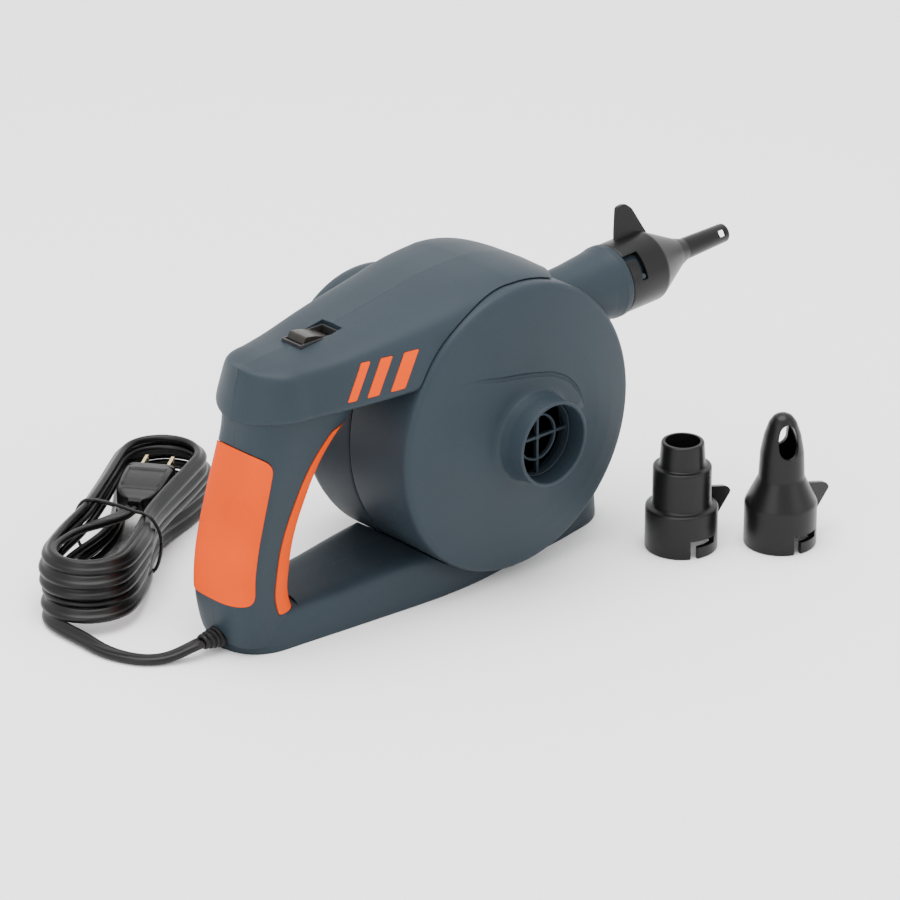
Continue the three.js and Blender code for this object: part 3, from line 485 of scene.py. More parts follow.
def smooth_path(points, values, step):
    """A centripetal-like cubic through points, resampled so that steps are equal."""
    gaps = np.r_[0, np.cumsum(np.linalg.norm(np.diff(points, axis=0), axis=1))]
    fine = np.linspace(0, gaps[-1], 6000)
    dense = np.stack([along(np.c_[gaps, points[:, k]], fine) for k in range(3)], -1)
    for _ in range(40):
        dense[1:-1] += 0.25 * (dense[:-2] + dense[2:] - 2 * dense[1:-1])
    way = np.r_[0, np.cumsum(np.linalg.norm(np.diff(dense, axis=0), axis=1))]
    count = int(way[-1] / step) + 1
    even = np.linspace(0, way[-1], count)
    path = np.stack([np.interp(even, way, dense[:, k]) for k in range(3)], -1)
    return path, np.interp(np.interp(even, way, fine), gaps, values), way[-1]


path, roll, cord_length = smooth_path(points, rolls, 2.4)
print("lead:", round(cord_length), "mm in", len(path), "rings; lowest", round(path[:, 2].min(), 1))

# %% [markdown]
# ## The lead's jacket
# Two round cores lie side by side in one jacket, 7.2 mm across, with a groove between. A section swept
# along the route keeps that groove, which a round curve bevel couldn't, and may roll as it goes.

# %% The lead's surface
def ribbon(name, path, roll, section):
    """A section of [across, thick] swept along a path; roll turns its wide side out of level."""
    tangent = np.gradient(path, axis=0)
    tangent /= np.linalg.norm(tangent, axis=1)[:, None]
    level = np.cross(tangent, [0, 0, 1.0])
    level /= np.linalg.norm(level, axis=1)[:, None]
    upward = np.cross(level, tangent)
    a = np.radians(roll)[:, None]
    wide = np.cos(a) * level + np.sin(a) * upward
    thin = np.cross(tangent, wide)
    rings = path[:, None] + section[None, :, :1] * wide[:, None] + section[None, :, 1:] * thin[:, None]
    return stack(name, rings)


LEAD_HALF, CORE_RADIUS, CORE_OFFSET, WEB_HALF = 3.6, 1.85, 1.75, 1.2
around = np.linspace(0, 2 * np.pi, 20, endpoint=False)
across = LEAD_HALF * np.cos(around)
core = CORE_RADIUS * np.sqrt(np.clip(1 - ((np.abs(across) - CORE_OFFSET) / CORE_RADIUS) ** 2, 0, 1))
web = np.where(np.abs(across) < CORE_OFFSET, np.maximum(core, WEB_HALF), core)
thick = np.sign(np.sin(around)) * web
cord = ribbon("mains_lead", path, roll, np.stack([across, thick], -1))
finish_piece(cord, "pump", cord_vinyl, angle=60)
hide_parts("cord_lead", "cord_hank")
print(len(cord.data.vertices), "points in the lead")

# %% [markdown]
# ## The tie
# A thin wire tie goes once round the hank's waist and laps over its own start on top. It is a round rod
# along a smooth route, held just off the lead so that it doesn't sink in.

# %% The tie
def rod(name, route, radius, sides=12):
    """A round rod along a smooth route."""
    route = np.array(route, float)
    line, flat, _ = smooth_path(route, np.zeros(len(route)), 1.2)
    around = np.linspace(0, 2 * np.pi, sides, endpoint=False)
    return ribbon(name, line, flat, radius * np.stack([np.cos(around), np.sin(around)], -1))


tie_ring = [(-10, 2, 32.2), (-8, 11, 32.4), (-6.8, 17.4, 31.6), (-6.2, 21.6, 26), (-6.2, 22.5, 14),
            (-6.8, 17, 3.4), (-8, 11, 1.2), (-12, -2, 1.2), (-16, -12, 1.2), (-17.4, -18.4, 3.6),
            (-17.8, -22.6, 13), (-17.8, -22, 26), (-17, -17.6, 31.8), (-14.4, -9, 32.6), (-11.4, -1, 32.9),
            (-9.4, 6, 33.2), (-9.4, 12, 33.8)]
tie_route = [hank_point(np.float64(x), np.float64(y), z) for x, y, z in tie_ring]
tie = rod("hank_tie", tie_route, 0.8)
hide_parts("cord_tie")
finish_piece(tie, "pump", cord_vinyl, angle=60)
print("tie:", len(tie.data.vertices), "points")

# %% [markdown]
# ## The plug
# A flat moulding: narrow at the lead, wide at the blades, with a sunk panel on each face and a groove
# across behind the blades. Sections of a rounded rectangle follow two tables, for width and thickness.

# %% The plug
def at_plug(x, y, z):
    """A point of the plug's own frame, x towards the blades, in maker's millimetres."""
    c, s = math.cos(PLUG_ANGLE), math.sin(PLUG_ANGLE)
    east, north = PLUG_CENTRE[0] + c * x - s * y, PLUG_CENTRE[1] + s * x + c * y
    return np.stack([east, north, PLUG_CENTRE[2] + z], -1)


PLUG_HALF = [[-20, 3.3], [-17.5, 3.9], [-16.4, 7.4], [-14, 9.9], [-10, 11], [0, 11.6], [11.6, 11.8],
             [12, 10.8], [12.9, 10.8], [13.3, 12], [16, 11.6]]
PLUG_THICK = [[-20, 3.2], [-17, 3.9], [-13.5, 6.2], [-9, 6.8], [12, 7.2], [16, 6.6]]
stations = np.unique(np.r_[np.linspace(-20, 16, 46), 11.6, 12, 12.9, 13.3])
angles = np.linspace(0, 2 * np.pi, 72, endpoint=False)
half_wide = np.interp(stations, *np.array(PLUG_HALF).T)[:, None]
half_thick = along(PLUG_THICK, stations)[:, None]
y = half_wide * soften(np.cos(angles), 0.3)
z = half_thick * soften(np.sin(angles), 0.3)
sunk = (np.abs(y) < 8.6) & (stations[:, None] > -11.5) & (stations[:, None] < 8.8)
z = np.where(sunk, np.sign(z) * np.minimum(np.abs(z), half_thick - 0.8), z)
plug = stack("mains_plug", at_plug(stations[:, None] + 0 * y, y, z))
finish_piece(plug, "pump", cord_vinyl, angle=40)
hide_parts("plug_body")
print("plug:", len(plug.data.vertices), "points")

# %% [markdown]
# ## The strain relief
# Where the lead leaves the grip's foot a tapered rubber boot keeps it from kinking. Ribs round it let
# it bend. It is a ribbed profile swept about a level line and flattened a little.

# %% The boot
BOOT_PROFILE = [
    [0, 0], [3.5, 0], [4.1, 0.8], [4.2, 2], [3.7, 2.3], [3.7, 2.9], [4.6, 3.2], [4.8, 4.4],
    [4.1, 4.7], [4.1, 5.3], [5.1, 5.6], [5.3, 6.8], [4.7, 7.1], [4.7, 7.7], [5.6, 8], [5.8, 10.4],
    [5.2, 10.8], [5.2, 20.6], [0, 20.6],
]
BOOT_TIP, BOOT_HEIGHT, BOOT_FLATNESS = -160, 6.8, 0.86
relief = sweep_round("strain_relief_boot", fillet(BOOT_PROFILE, 0.3), 48, lambda r, a, s: np.stack(
    [BOOT_TIP + s + 0 * a, r * np.cos(a), BOOT_HEIGHT + BOOT_FLATNESS * r * np.sin(a)], -1))
finish_piece(relief, "pump", cord_vinyl, angle=40)
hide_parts("strain_relief")
print("boot:", len(relief.data.vertices), "points")

# %% [markdown]
# ## What the lead is
# The lead's length along its route is printed.

# %% The cord's facts
print("cord declared,", round(cord_length), "mm")

# %% [markdown]
# ## The D-shaped frame
# The top housing, the grip and the base are three lofts. They are joined, cut by the drum's saddle,
# and split on the mid-plane. Every table below is a measurement along the part.

# %% Tables of the frame
TOP_LOW = 111.0
TOP_LOW_HALF = [[-116, 28.5], [-101, 32], [-82, 35.5], [-57, 38.8], [-30, 39], [62, 39]]
TOP_CREASE_HALF = [[-116, 22.5], [-96, 26.5], [-59, 32.5], [-25, 37], [-5, 38.8], [20, 39], [62, 39]]
TOP_CREASE_Z = [[-136, 133.5], [-100, 135], [-75, 138.6], [-59, 140.7], [-40, 142.9], [-25, 145.4],
                [-8, 147.4], [0, 148]]
TOP_CROWN = [[-136, 1.2], [-120, 2.6], [-92, 2.6], [-60, 3.4], [-40, 5], [-20, 4.6], [0, 3.4], [62, 3.4]]
NOSE_REAR, NOSE_CENTRE, NOSE_LEAN, STRAP_END = -140.5, -116.0, 5.0, 62.0
GRIP_REAR = [[0, -146], [6, -149.5], [16, -152.2], [25, -153.5], [41, -153], [55, -150.5], [68, -147],
             [82, -143], [95, -139.5], [104, -138], [118, -138]]
GRIP_FRONT = [[0, -108], [8, -110], [14, -115], [25, -119], [38, -118], [49, -115.8], [58.4, -112.5],
              [69.6, -107], [78.4, -102], [86.7, -96], [95.6, -87], [104, -76], [118, -66]]
GRIP_HALF = 19.5
BASE_HALF = [[-148, 21.5], [-128, 22.5], [-96, 25.6], [-73, 27.9], [-53, 29.9], [-36, 31], [-15, 30.3],
             [5, 27.5], [28, 25], [45, 22.5], [60, 19.5], [82, 16]]
BASE_HEIGHT = [[-148, 17.6], [-118, 18.5], [-90, 19.5], [-60, 22.5], [-40, 24], [0, 24], [40, 22],
               [78.5, 16]]


def nose_half(x, table, inset):
    """The half width: the table's value, closing as a quarter ellipse towards the rear."""
    reach = np.clip((NOSE_CENTRE - x) / (NOSE_CENTRE - NOSE_REAR - inset), 0, 1)
    return (along(table, x) - inset) * np.sqrt(np.maximum(1 - reach**2, 0.0006))


def top_housing(name, inset):
    """Rounded trapezoid sections from the nose to the strap's front end, each with a crowned top."""
    rear = NOSE_REAR + inset
    nose = NOSE_CENTRE - (NOSE_CENTRE - rear) * np.cos(np.linspace(0, np.pi / 2, 22))
    x = np.r_[nose, np.linspace(NOSE_CENTRE, STRAP_END, 90)[1:]][:, None]
    a = np.linspace(0, 2 * np.pi, 112, endpoint=False)
    c, s = soften(np.cos(a), 0.3), soften(np.sin(a), 0.3)
    height = (s + 1) / 2
    arch = AXIS_Z + np.sqrt(np.maximum(71.0**2 - np.maximum(x, 0) ** 2, 0))
    crease = np.where(x < 0, along(TOP_CREASE_Z, x), arch) - inset
    low = TOP_LOW + inset
    low_half, crease_half = (nose_half(x, table, inset) for table in (TOP_LOW_HALF, TOP_CREASE_HALF))
    half = low_half * (1 - height) + crease_half * height
    lean_in = np.clip((NOSE_CENTRE - x) / (NOSE_CENTRE - NOSE_REAR), 0, 1)
    lean = NOSE_LEAN * height * lean_in**2 * (3 - 2 * lean_in)
    crown = along(TOP_CROWN, x) * (1 - c**2) * height
    return stack(name, np.stack([x + lean, half * c, low + (crease - low) * height + crown], -1))


def grip_loft(name, inset, low=4.0, high=116.0):
    """Oval sections up Z between the rear and front edge curves."""
    z = np.linspace(low, high, 90)[:, None]
    a = np.linspace(0, 2 * np.pi, 96, endpoint=False)
    rear, front = along(GRIP_REAR, z) + inset, along(GRIP_FRONT, z) - inset
    c, s = soften(np.cos(a), 0.62), soften(np.sin(a), 0.62)
    return stack(name, np.stack(
        [(rear + front) / 2 + (front - rear) / 2 * c, (GRIP_HALF - inset) * s + 0 * z, z + 0 * a], -1))


def base_bar(name):
    """A long boat-shaped bar that tapers to both ends and leans in towards its top."""
    t = np.linspace(0, 1, 110)[:, None]
    x = -148 + 229.5 * (0.55 * t + 0.45 * (1 - np.cos(np.pi * t)) / 2)
    reach = np.maximum(np.maximum((-126 - x) / 22, (x - 60) / 21.5), 0)
    half = along(BASE_HALF, x) * np.sqrt(np.maximum(1 - reach**2.4, 0.002))
    a = np.linspace(0, 2 * np.pi, 96, endpoint=False)
    c, s = soften(np.cos(a), 0.34), soften(np.sin(a), 0.34)
    height = (s + 1) / 2
    rise = -2.5 + (along(BASE_HEIGHT, x) + 2.5) * height
    return stack(name, np.stack([x + 0 * a, half * c * (1 - 0.16 * height), rise], -1))


def bar_y(name, radius, low, high, x, z, sides=64):
    """A round cutter along Y."""
    a = np.linspace(0, 2 * np.pi, sides, endpoint=False)
    return prism(name, np.stack([x + radius * np.cos(a), z + radius * np.sin(a)], -1), low, high)


REAR_PAD_SIDE, REAR_PAD_LOW, REAR_PAD_HIGH, REAR_PAD_RISE = 9.5, 27.0, 92.0, 28.0
FRONT_PAD_SIDE, FRONT_PAD_LOW, FRONT_PAD_HIGH = -13.2, 17.5, 99.0


def rear_pad_outline(grow):
    """The rear pad seen from the side: along the grip's rear edge, with a rising top."""
    low, high = REAR_PAD_LOW - grow, REAR_PAD_HIGH + grow
    z = np.r_[low, np.linspace(low + 11, high - 11, 24), high]
    edge = np.stack([along(GRIP_REAR, z) + REAR_PAD_SIDE + grow, z], -1)
    far = [[-175, REAR_PAD_HIGH + grow + REAR_PAD_RISE], [-175, REAR_PAD_LOW - grow]]
    return fillet(np.vstack([edge, far]), 5.0, closed=True, steps=8)


def front_pad_outline(grow):
    """The front pad seen from the side: a strip along the grip's inner edge."""
    z = np.linspace(FRONT_PAD_LOW - grow, FRONT_PAD_HIGH + grow, 40)
    edge = np.stack([along(GRIP_FRONT, z) + FRONT_PAD_SIDE - grow, z], -1)
    far = [[-60, FRONT_PAD_HIGH + grow], [-60, FRONT_PAD_LOW - grow]]
    return fillet(np.vstack([edge, far]), 3.0, closed=True, steps=6)


STRIPES = [(-98.0, 4.6), (-88.0, 6.1), (-75.8, 7.7)]


def stripe_outline(x, width, grow):
    """A slanted bar seen from the side."""
    lean = 10.2
    corners = [[x - grow, 116.8 - grow], [x + width + grow, 116.8 - grow],
               [x + width + lean + grow, 132.6 + grow], [x + lean - grow, 132.6 + grow]]
    return fillet(corners, 0.8, closed=True, steps=4)


print("tables ready")

# %% [markdown]
# ## Joining the frame
# The real frame is two mouldings screwed together. Here it is built solid, because nothing shows of its
# inside. Its recesses hold the pads, stripes and switch with a hairline gap.

# %% The frame's two halves
def frame_body():
    """Top, grip and base joined, then cut by the drum, the floor, the recesses and the tube's path."""
    whole = top_housing("frame", 0.0)
    combine(whole, [("UNION", grip_loft("grip", 0.0)), ("UNION", base_bar("base"))])
    pad_bed, stripe_bed = grip_loft("pad_bed", 1.7), top_housing("stripe_bed", 1.2)
    recesses = []
    for outline in (rear_pad_outline(0.15), front_pad_outline(0.15)):
        around = grip_loft("around", -3.0)
        recess = combine(prism("recess", outline, -60, 60), [("INTERSECT", around)])
        recesses.append(combine(recess, [("DIFFERENCE", copy_of(pad_bed, "bed"))]))
    for x, width in STRIPES:
        recess = prism("recess", stripe_outline(x, width, 0.12), -60, 60)
        recesses.append(combine(recess, [("DIFFERENCE", copy_of(stripe_bed, "bed"))]))
    for spare in (pad_bed, stripe_bed):
        bpy.data.objects.remove(spare)
    recesses += [
        bar_y("saddle", DRUM_BORE, -60, 60, 0, AXIS_Z, sides=256),
        block("floor_cut", (-200, -60, -20), (200, 60, 0)),
        block("switch_hole", (-104.5, -6.8, 112), (-79.5, 6.8, 170)),
        prism("tube_path", [[22, -60], [22, -38.6], [48, -0.05], [48, 0.35], [100, 0.35], [100, -60]],
              80, 200, axis="z"),
    ]
    return combine(whole, [("DIFFERENCE", cutter) for cutter in recesses])


whole = frame_body()
near_room = block("near", (-200, -80, -20), (200, -SEAM, 200))
far_room = block("far", (-200, SEAM, -20), (200, 80, 200))
near_half = combine(copy_of(whole, "frame_near_side"), [("INTERSECT", near_room)])
far_half = combine(copy_of(whole, "frame_far_side"), [("INTERSECT", far_room)])
bpy.data.objects.remove(whole)
SCREWS = [(-126, 122), (-134, 56), (-70, 11), (66, 8)]
far_half = combine(far_half, [("DIFFERENCE", bar_y("seat", 3.5, 8, 60, x, z)) for x, z in SCREWS])
for half, node in ((near_half, "frame_near_half"), (far_half, "frame_far_half")):
    finish_piece(half, "pump", body_plastic)
    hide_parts(node)
    print(half.name, len(half.data.vertices), "points")

# %% [markdown]
# ## Pads and stripes
# The soft pads and the slanted stripes are skins laid into those recesses: the same lofts grown and
# shrunk a little, with the outlines of their beds cut from the space between.

# %% Pads and stripes
for name, outline, node in (("rear_grip_pad", rear_pad_outline, "grip_pad_rear"),
                            ("front_grip_pad", front_pad_outline, "grip_pad_front")):
    pad = combine(grip_loft(name, -0.4), [
        ("DIFFERENCE", grip_loft("inner", 1.5, 3.0, 117.0)),
        ("INTERSECT", prism("cut", outline(-0.1), -60, 60))])
    finish_piece(pad, "pump", orange_grip)
    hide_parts(node)
for k, (x, width) in enumerate(STRIPES):
    for side, low, high in (("near", -60, -10), ("far", 10, 60)):
        stripe = combine(top_housing(f"{side}_stripe_{k + 1}", -0.2), [
            ("INTERSECT", prism("cut", stripe_outline(x, width, 0), low, high)),
            ("DIFFERENCE", top_housing("inner", 1.0))])
        finish_piece(stripe, "pump", orange_grip)
        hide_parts(f"stripe_{side}_{k + 1}")
print("pads and stripes made")

# %% [markdown]
# ## The drum
# The near half is one moulding with the inlet collar and the outlet tube; the far half carries the
# motor cap. Both are turned about the drum's axis. The outlet has its own axis, so bodies made upright
# are laid onto it.

# %% Laying a body on the outlet
def on_outlet(obj):
    """Turns a body made about +Z, foot at the origin, onto the outlet's axis."""
    turn_about(obj, (0, 0, 0), (0, 1, 0), 90 - OUTLET_RISE)
    obj.data.transform(Matrix.Translation(Vector(OUTLET * 0.001)))
    return obj


print("outlet rises by", OUTLET_RISE, "degrees")

# %% [markdown]
# ## The near half of the drum
# Its profile gives the collar, the gently coned face and the rim. The tube and its two lugs are joined
# on, one bore runs through, and a shallow crease sweeps over the collar.

# %% The cover's shape
OUTLET_ANGLE_ZERO = 180.0
LUG_ANGLE, TWIST = 74.0, 36.0
COVER = [
    [18.9, -62.7], [20.6, -62.7], [21.0, -54], [22.0, -48.9], [24.5, -47.9], [36, -45.8], [46, -44.3],
    [56, -42.4], [64, -40.6], [68, -39.6], [69.8, -37.9], [70.3, -35.4], [70.3, -0.3], [67.4, -0.3],
    [67.4, -33.5], [64, -37.2], [36, -43.2], [18.9, -45.4],
]
TUBE = [[0, -78], [14.6, -78], [14.9, -42], [15.5, -24], [16.8, -9], [17.6, -4.2], [17.8, -3.8],
        [17.8, -0.5], [17.3, 0], [14.2, 0], [14.2, 15.4], [13.6, 16], [0, 16]]
cover = turned_y("drum_near_half", COVER, sides=240, smooth=1.0)
tube = on_outlet(turned_z("tube", TUBE, sides=128, smooth=0.6))
CAVITY = [[0, -36.6], [58, -36.6], [65, -35.4], [67.4, -33], [67.4, 5], [0, 5]]
cavity = turned_y("cavity", CAVITY, sides=240)
beyond = block("beyond", (-60, -0.3, 60), (69, 20, 160))
combine(tube, [("DIFFERENCE", cavity), ("DIFFERENCE", beyond)])
lugs = []
for half in (0, 180):
    lug = turned_z("lug", [[0, 12.9], [1.3, 12.9], [1.3, 16.9], [0, 16.9]], sides=32, smooth=0.3)
    turn_about(lug, (0, 0, 0), (0, 1, 0), 90)
    lug.data.transform(Matrix.Translation((0, 0, 0.0076)))
    turn_about(lug, (0, 0, 0), (0, 0, 1), OUTLET_ANGLE_ZERO + LUG_ANGLE + half)
    lugs.append(("UNION", on_outlet(lug)))
bore = on_outlet(turned_z("bore", [[0, -62], [12, -62], [12, 20], [0, 20]], sides=96))
CREASE = [(-46, 112), (-32, 111.4), (-17, 109), (-4, 107.4), (6, 105.4), (15, 102.6), (23, 98),
          (29, 92), (33, 85), (36, 77)]
radii = [math.hypot(x, z - AXIS_Z) for x, z in CREASE]
face = np.interp(radii, [24.5, 36, 46, 56, 64], [-47.9, -45.8, -44.3, -42.4, -40.6])
lift = np.interp(np.arange(len(CREASE)), [0, 2, 7, 9], [1.5, 0.55, 0.55, 1.5])
crease_route = [(x, y - up, z) for (x, z), y, up in zip(CREASE, face, lift)]
crease = rod("crease", crease_route, 1.3, sides=16)
combine(cover, [("UNION", tube), *lugs, ("DIFFERENCE", bore), ("DIFFERENCE", crease)])
finish_piece(cover, "pump", body_plastic)
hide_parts("volute_cover")
print("cover:", len(cover.data.vertices), "points")

# %% [markdown]
# ## The motor shell
# The far half of the drum is a plain shell, turned about the drum's axis. Three holes take the cap's
# screws, whose heads are the CAD's own pieces.

# %% The motor shell
SCREW_CIRCLE = 53.2
CAP_SCREWS = [(SCREW_CIRCLE * math.cos(math.radians(a)), AXIS_Z + SCREW_CIRCLE * math.sin(math.radians(a)))
              for a in (90, 210, 330)]
shell = turned_y("drum_far_half", [
    [67.4, 0.3], [70.3, 0.3], [70.3, 29], [68.9, 33], [66, 35.3], [62, 36], [46, 36], [46, 33.4],
    [62.5, 33.4], [65.8, 32.3], [67.4, 28.5]], sides=240, smooth=1.0)
combine(shell, [("DIFFERENCE", bar_y("hole", 1.7, 20, 60, x, z, sides=24)) for x, z in CAP_SCREWS])
finish_piece(shell, "pump", body_plastic)
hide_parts("motor_shell")

print("shell:", len(shell.data.vertices), "points")

# %% [markdown]
# ## The motor cap
# The motor is deeper than the drum, so a round cap stands out behind it. Cooling air leaves through two
# columns of slots, each as long as the cap's flat face allows at its height.

# %% The motor cap
cap = turned_y("motor_cover", [
    [0, 76], [41, 76], [45, 75], [47.9, 72], [49, 68], [49, 39.8], [49.6, 38.8], [57, 38.8], [57, 36.3],
    [46.4, 36.3], [46.4, 67], [45.6, 70.4], [43.4, 72.6], [40.5, 73.4], [0, 73.4]], sides=200, smooth=1.5)
slots = []
for row in range(-2, 3):
    z = AXIS_Z + row * 11
    half = math.sqrt(34**2 - (row * 11) ** 2)
    for side in (-1, 1):
        low, high = sorted((2 * side, half * side))
        ends = fillet([[low, z - 1.6], [high, z - 1.6], [high, z + 1.6], [low, z + 1.6]], 1.4, closed=True)
        slots.append(("DIFFERENCE", prism("slot", ends, 70, 80)))
slots += [("DIFFERENCE", bar_y("hole", 1.7, 32, 44, x, z, sides=24)) for x, z in CAP_SCREWS]
combine(cap, slots)
finish_piece(cap, "pump", body_plastic)
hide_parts("motor_cap")
print("cap:", len(cap.data.vertices), "points")

# %% [markdown]
# ## The inlet grille
# A guard deep in the collar keeps fingers off the impeller: an outer ring, a middle ring, a cross of
# thin bars and a small hub. Rings are turned, bars are blocks, and unions make them one moulding.

# %% The grille
BAR_HALF, BAR_REACH = 0.7, 18.2
grille = turned_y("inlet_grille_fine", [[17.8, -53.3], [18.6, -53.3], [18.6, -49.3], [17.8, -49.3]],
                  sides=96, smooth=0.3)
middle = turned_y("middle", [[10.4, -51.6], [11.6, -51.6], [11.6, -49.3], [10.4, -49.3]],
                  sides=96, smooth=0.5)
hub = turned_y("hub", [[0, -51.7], [1.5, -51.7], [1.5, -49.3], [0, -49.3]], sides=48, smooth=0.4)
level_bar = block("across", (-BAR_REACH, -51.4, AXIS_Z - BAR_HALF), (BAR_REACH, -49.5, AXIS_Z + BAR_HALF))
upright_bar = block("upright", (-BAR_HALF, -51.4, AXIS_Z - BAR_REACH),
                    (BAR_HALF, -49.5, AXIS_Z + BAR_REACH))
combine(grille, [("UNION", piece) for piece in (middle, level_bar, upright_bar, hub)])
finish_piece(grille, "pump", body_plastic)
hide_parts("inlet_grille")
print("grille:", len(grille.data.vertices), "points")

# %% [markdown]
# ## The nozzles
# All three share one foot: a socket with two J-shaped slots for the spigot's lugs, and a flat fin to
# turn it by. Above the foot each has its own shape, turned from its own profile.

# %% The nozzles' common foot
def bayonet_slots(entry):
    """Two cutters: each goes in from the foot's edge, then round by the twist to its stop."""
    stop = TWIST + math.degrees(1.6 / 16)
    cutters = []
    for half in (0, 180):
        a = np.radians(np.linspace(0, stop, 24))
        sector = np.vstack([[[0, 0]], 26 * np.stack([np.cos(a), np.sin(a)], -1)])
        channel = prism("channel", sector, 5.9, 9.3, axis="z")
        core = turned_z("core", [[0, 4], [13, 4], [13, 11], [0, 11]], sides=64)
        mouth = block("mouth", (12, -1.8, -2), (24, 1.8, 9.3))
        cutter = combine(channel, [("DIFFERENCE", core), ("UNION", mouth)])
        turn_about(cutter, (0, 0, 0), (0, 0, 1), entry + half)
        cutters.append(("DIFFERENCE", cutter))
    return cutters


def nozzle(name, outside, inside, fin, fin_angle, entry):
    """A turned tube with its foot at the origin, a fin, a socket and the bayonet slots."""
    body = turned_z(name, outside, sides=144, smooth=1.0)
    blade = prism("fin", fillet(fin, 1.4, closed=True), -1.2, 1.2)
    turn_about(blade, (0, 0, 0), (0, 0, 1), fin_angle)
    socket = turned_z("socket", [[0, -2], [14.9, -2], [14.9, 20], *inside], sides=144, smooth=0.4)
    return combine(body, [("UNION", blade), ("DIFFERENCE", socket), *bayonet_slots(entry)])


def stand_at(obj, x, y, z=0.0):
    """Moves a nozzle's mesh from the origin to its place on the floor."""
    obj.data.transform(Matrix.Translation(Vector((x, y, z)) * 0.001))
    return obj


print("a nozzle twists by", TWIST, "degrees")

# %% [markdown]
# ## Three tips
# The narrow tip sits on the spout, with a small window near its end. The stepped tip fits two sizes of
# valve, and the domed one has an oval eye through it. The last two stand loose on the floor.

# %% The three nozzles
FOOT = [[0, 0], [17.3, 0]]
NARROW_FIN = [[15, 8], [20.2, 9.3], [31.7, 13.3], [32.2, 17.9], [29, 21.6], [14.6, 27.8], [12, 27.8]]
FINGER_FIN = [[15, 4], [17, 4], [24, 10.5], [32, 19], [29.5, 22], [19, 25], [17, 26], [13, 27]]
narrow = nozzle(
    "narrow_tip", [*FOOT, [17.3, 23], [7.2, 43], [5.3, 48.6], [4.6, 76], [0, 76]],
    [[14, 22], [6, 40], [3.6, 47], [3.6, 80], [0, 80]], NARROW_FIN, OUTLET_ANGLE_ZERO - 15,
    OUTLET_ANGLE_ZERO + LUG_ANGLE - TWIST)
window = block("window", (-10, -1.6, 68), (10, 1.6, 73))
turn_about(window, (0, 0, 0), (0, 0, 1), OUTLET_ANGLE_ZERO + 60)
combine(narrow, [("DIFFERENCE", window)])
on_outlet(stand_at(narrow, 0, 0, 0.3))
stepped = nozzle(
    "stepped_tip", [*FOOT, [17.3, 21.4], [14, 22.4], [14, 41.8], [11, 42.2], [10.2, 54.2], [0, 54.2]],
    [[12, 22], [12, 39.6], [8.6, 41.6], [8.2, 60], [0, 60]], FINGER_FIN, 0, 66.4)
stand_at(stepped, 82.1, -63.8)
valve = nozzle(
    "valve_tip",
    [*FOOT, [17.3, 21.4], [11, 34.3], [10.4, 47], [8.8, 55.6], [6.6, 62], [4.4, 65], [1.8, 66.3],
     [0, 66.4]],
    [[14, 22], [9, 34], [8.4, 47], [7, 54.6], [4.4, 60.6], [0.4, 62.8], [0, 62.8]], FINGER_FIN, 0, 73.6)
eye_half = [[0, 46], [3.4, 47.2], [4.9, 50.6], [4.7, 56.4], [3.2, 61], [0, 63]]
eye = prism("eye", fillet(eye_half + [[-x, z] for x, z in eye_half[-2:0:-1]], 1.6, closed=True), -20, 20)
turn_about(eye, (0, 0, 0), (0, 0, 1), -24.5)
combine(valve, [("DIFFERENCE", eye)])
stand_at(valve, 119.7, -92.3)
for tip, node, body in (
    (narrow, "narrow_nozzle", "twist_nozzle"), (stepped, "stepped_nozzle", "loose_stepped_nozzle"),
    (valve, "valve_nozzle", "loose_valve_nozzle"),
):
    finish_piece(tip, body, nozzle_plastic)
    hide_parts(node)
    print(tip.name, [round(v, 3) for v in tip.dimensions])

# %% [markdown]
# ## The switch
# The rocker is one smooth paddle on two pins, taller at the end that stands up at rest. It is an outline
# with thickness, made level and then tilted to its first stop.

# %% The rocker
ROCKER_TILT = 13
outline = [[0, 5.9], [5, 5.6], [8.4, 4.0], [10.4, 1.2], [10.6, -1.4], [4, -5.5], [-4, -5.5], [-10.4, -2],
           [-10.8, 0.5], [-10.3, 4.2], [-9.6, 5.8], [-5, 6.2]]
rocker = prism("rocker_cap", fillet(outline, 1.2, closed=True), -5.5, 5.5)
pins = turned_z("pins", [[0, -6.2], [1.2, -6.2], [1.2, 6.2], [0, 6.2]], sides=32)
turn_about(pins, (0, 0, 0), (1, 0, 0), 90)
combine(rocker, [("UNION", pins)])
rocker.data.transform(Matrix.Translation(-Vector(SHIFT * 0.001)))
rocker.data.transform(Matrix.Rotation(math.radians(ROCKER_TILT), 4, "Y"))
rocker.data.transform(Matrix.Translation(Vector(place([-92, 0, 133.4]))))
finish_piece(rocker, "rocker", switch_gloss, angle=28)
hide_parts("switch_rocker")
print("rocker:", len(rocker.data.vertices), "points")

# %% [markdown]
# ## Studio
# A pale floor curves up behind the pump. One large soft light comes from above, a second fills from
# the camera's left, and the world is near white.

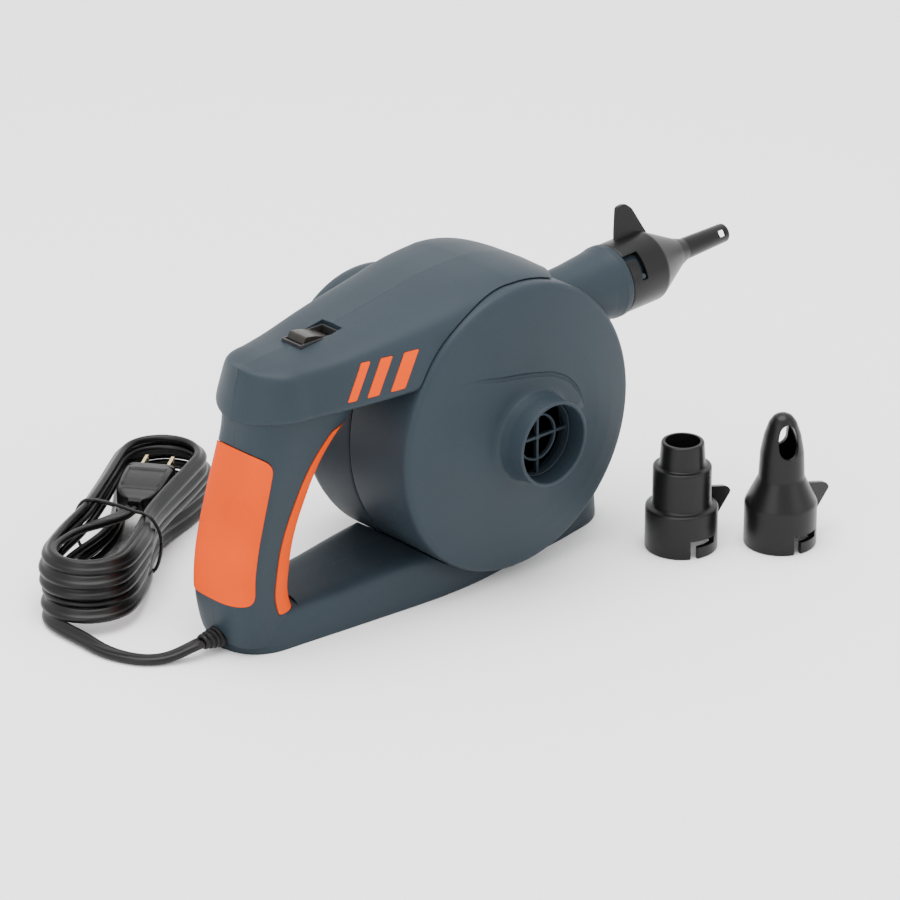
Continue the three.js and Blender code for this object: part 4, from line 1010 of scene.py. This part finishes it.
# %% Floor and light
floor_mesh = bpy.data.meshes.new("floor")
u = np.linspace(-3.0, 3.0, 31)
rise = np.linspace(0, 1, 41)
forward = np.where(rise < 0.5, -2.0 + 7.0 * rise, 1.5 + 1.6 * np.sin((rise - 0.5) * np.pi))
upward = np.where(rise < 0.5, 0.0, 1.6 - 1.6 * np.cos((rise - 0.5) * np.pi))
away = -view * [1, 1, 0] / np.linalg.norm(view[:2])
aside = np.array([-away[1], away[0], 0])
grid = forward[:, None, None] * away + u[None, :, None] * aside + upward[:, None, None] * [0, 0, 1]
index = np.arange(grid[..., 0].size).reshape(grid.shape[:2])
quads = np.stack([index[:-1, :-1], index[:-1, 1:], index[1:, 1:], index[1:, :-1]], -1).reshape(-1, 4)
floor_mesh.from_pydata(grid.reshape(-1, 3).tolist(), [], quads[:, ::-1].tolist())
floor_mesh.shade_smooth()
floor = bpy.data.objects.new("floor", floor_mesh)
bpy.context.collection.objects.link(floor)
paper = bpy.data.materials.new("paper")
paper.use_nodes = True
paper.node_tree.nodes["Principled BSDF"].inputs["Base Color"].default_value = (0.96, 0.96, 0.96, 1)
paper.node_tree.nodes["Principled BSDF"].inputs["Roughness"].default_value = 0.75
floor_mesh.materials.append(paper)


def area_light(name, offset, size, power):
    """A square lamp that faces the pump from an offset in metres."""
    light = bpy.data.lights.new(name, "AREA")
    light.shape, light.size, light.energy = "SQUARE", size, power
    lamp = bpy.data.objects.new(name, light)
    bpy.context.collection.objects.link(lamp)
    lamp.location = Vector(offset)
    lamp.rotation_mode = "QUATERNION"
    lamp.rotation_quaternion = Vector(offset).to_track_quat("Z", "Y")
    return lamp


area_light("overhead", (-0.1, 0.1, 1.9), 1.6, 52)
area_light("left_fill", (-1.7, -0.5, 0.9), 1.2, 10)
area_light("front_fill", (0.6, -1.8, 0.9), 1.2, 8)
world = bpy.context.scene.world or bpy.data.worlds.new("world")
bpy.context.scene.world = world
world.use_nodes = True
world.node_tree.nodes["Background"].inputs["Color"].default_value = (1, 1, 1, 1)
world.node_tree.nodes["Background"].inputs["Strength"].default_value = 1.7
print("studio ready")
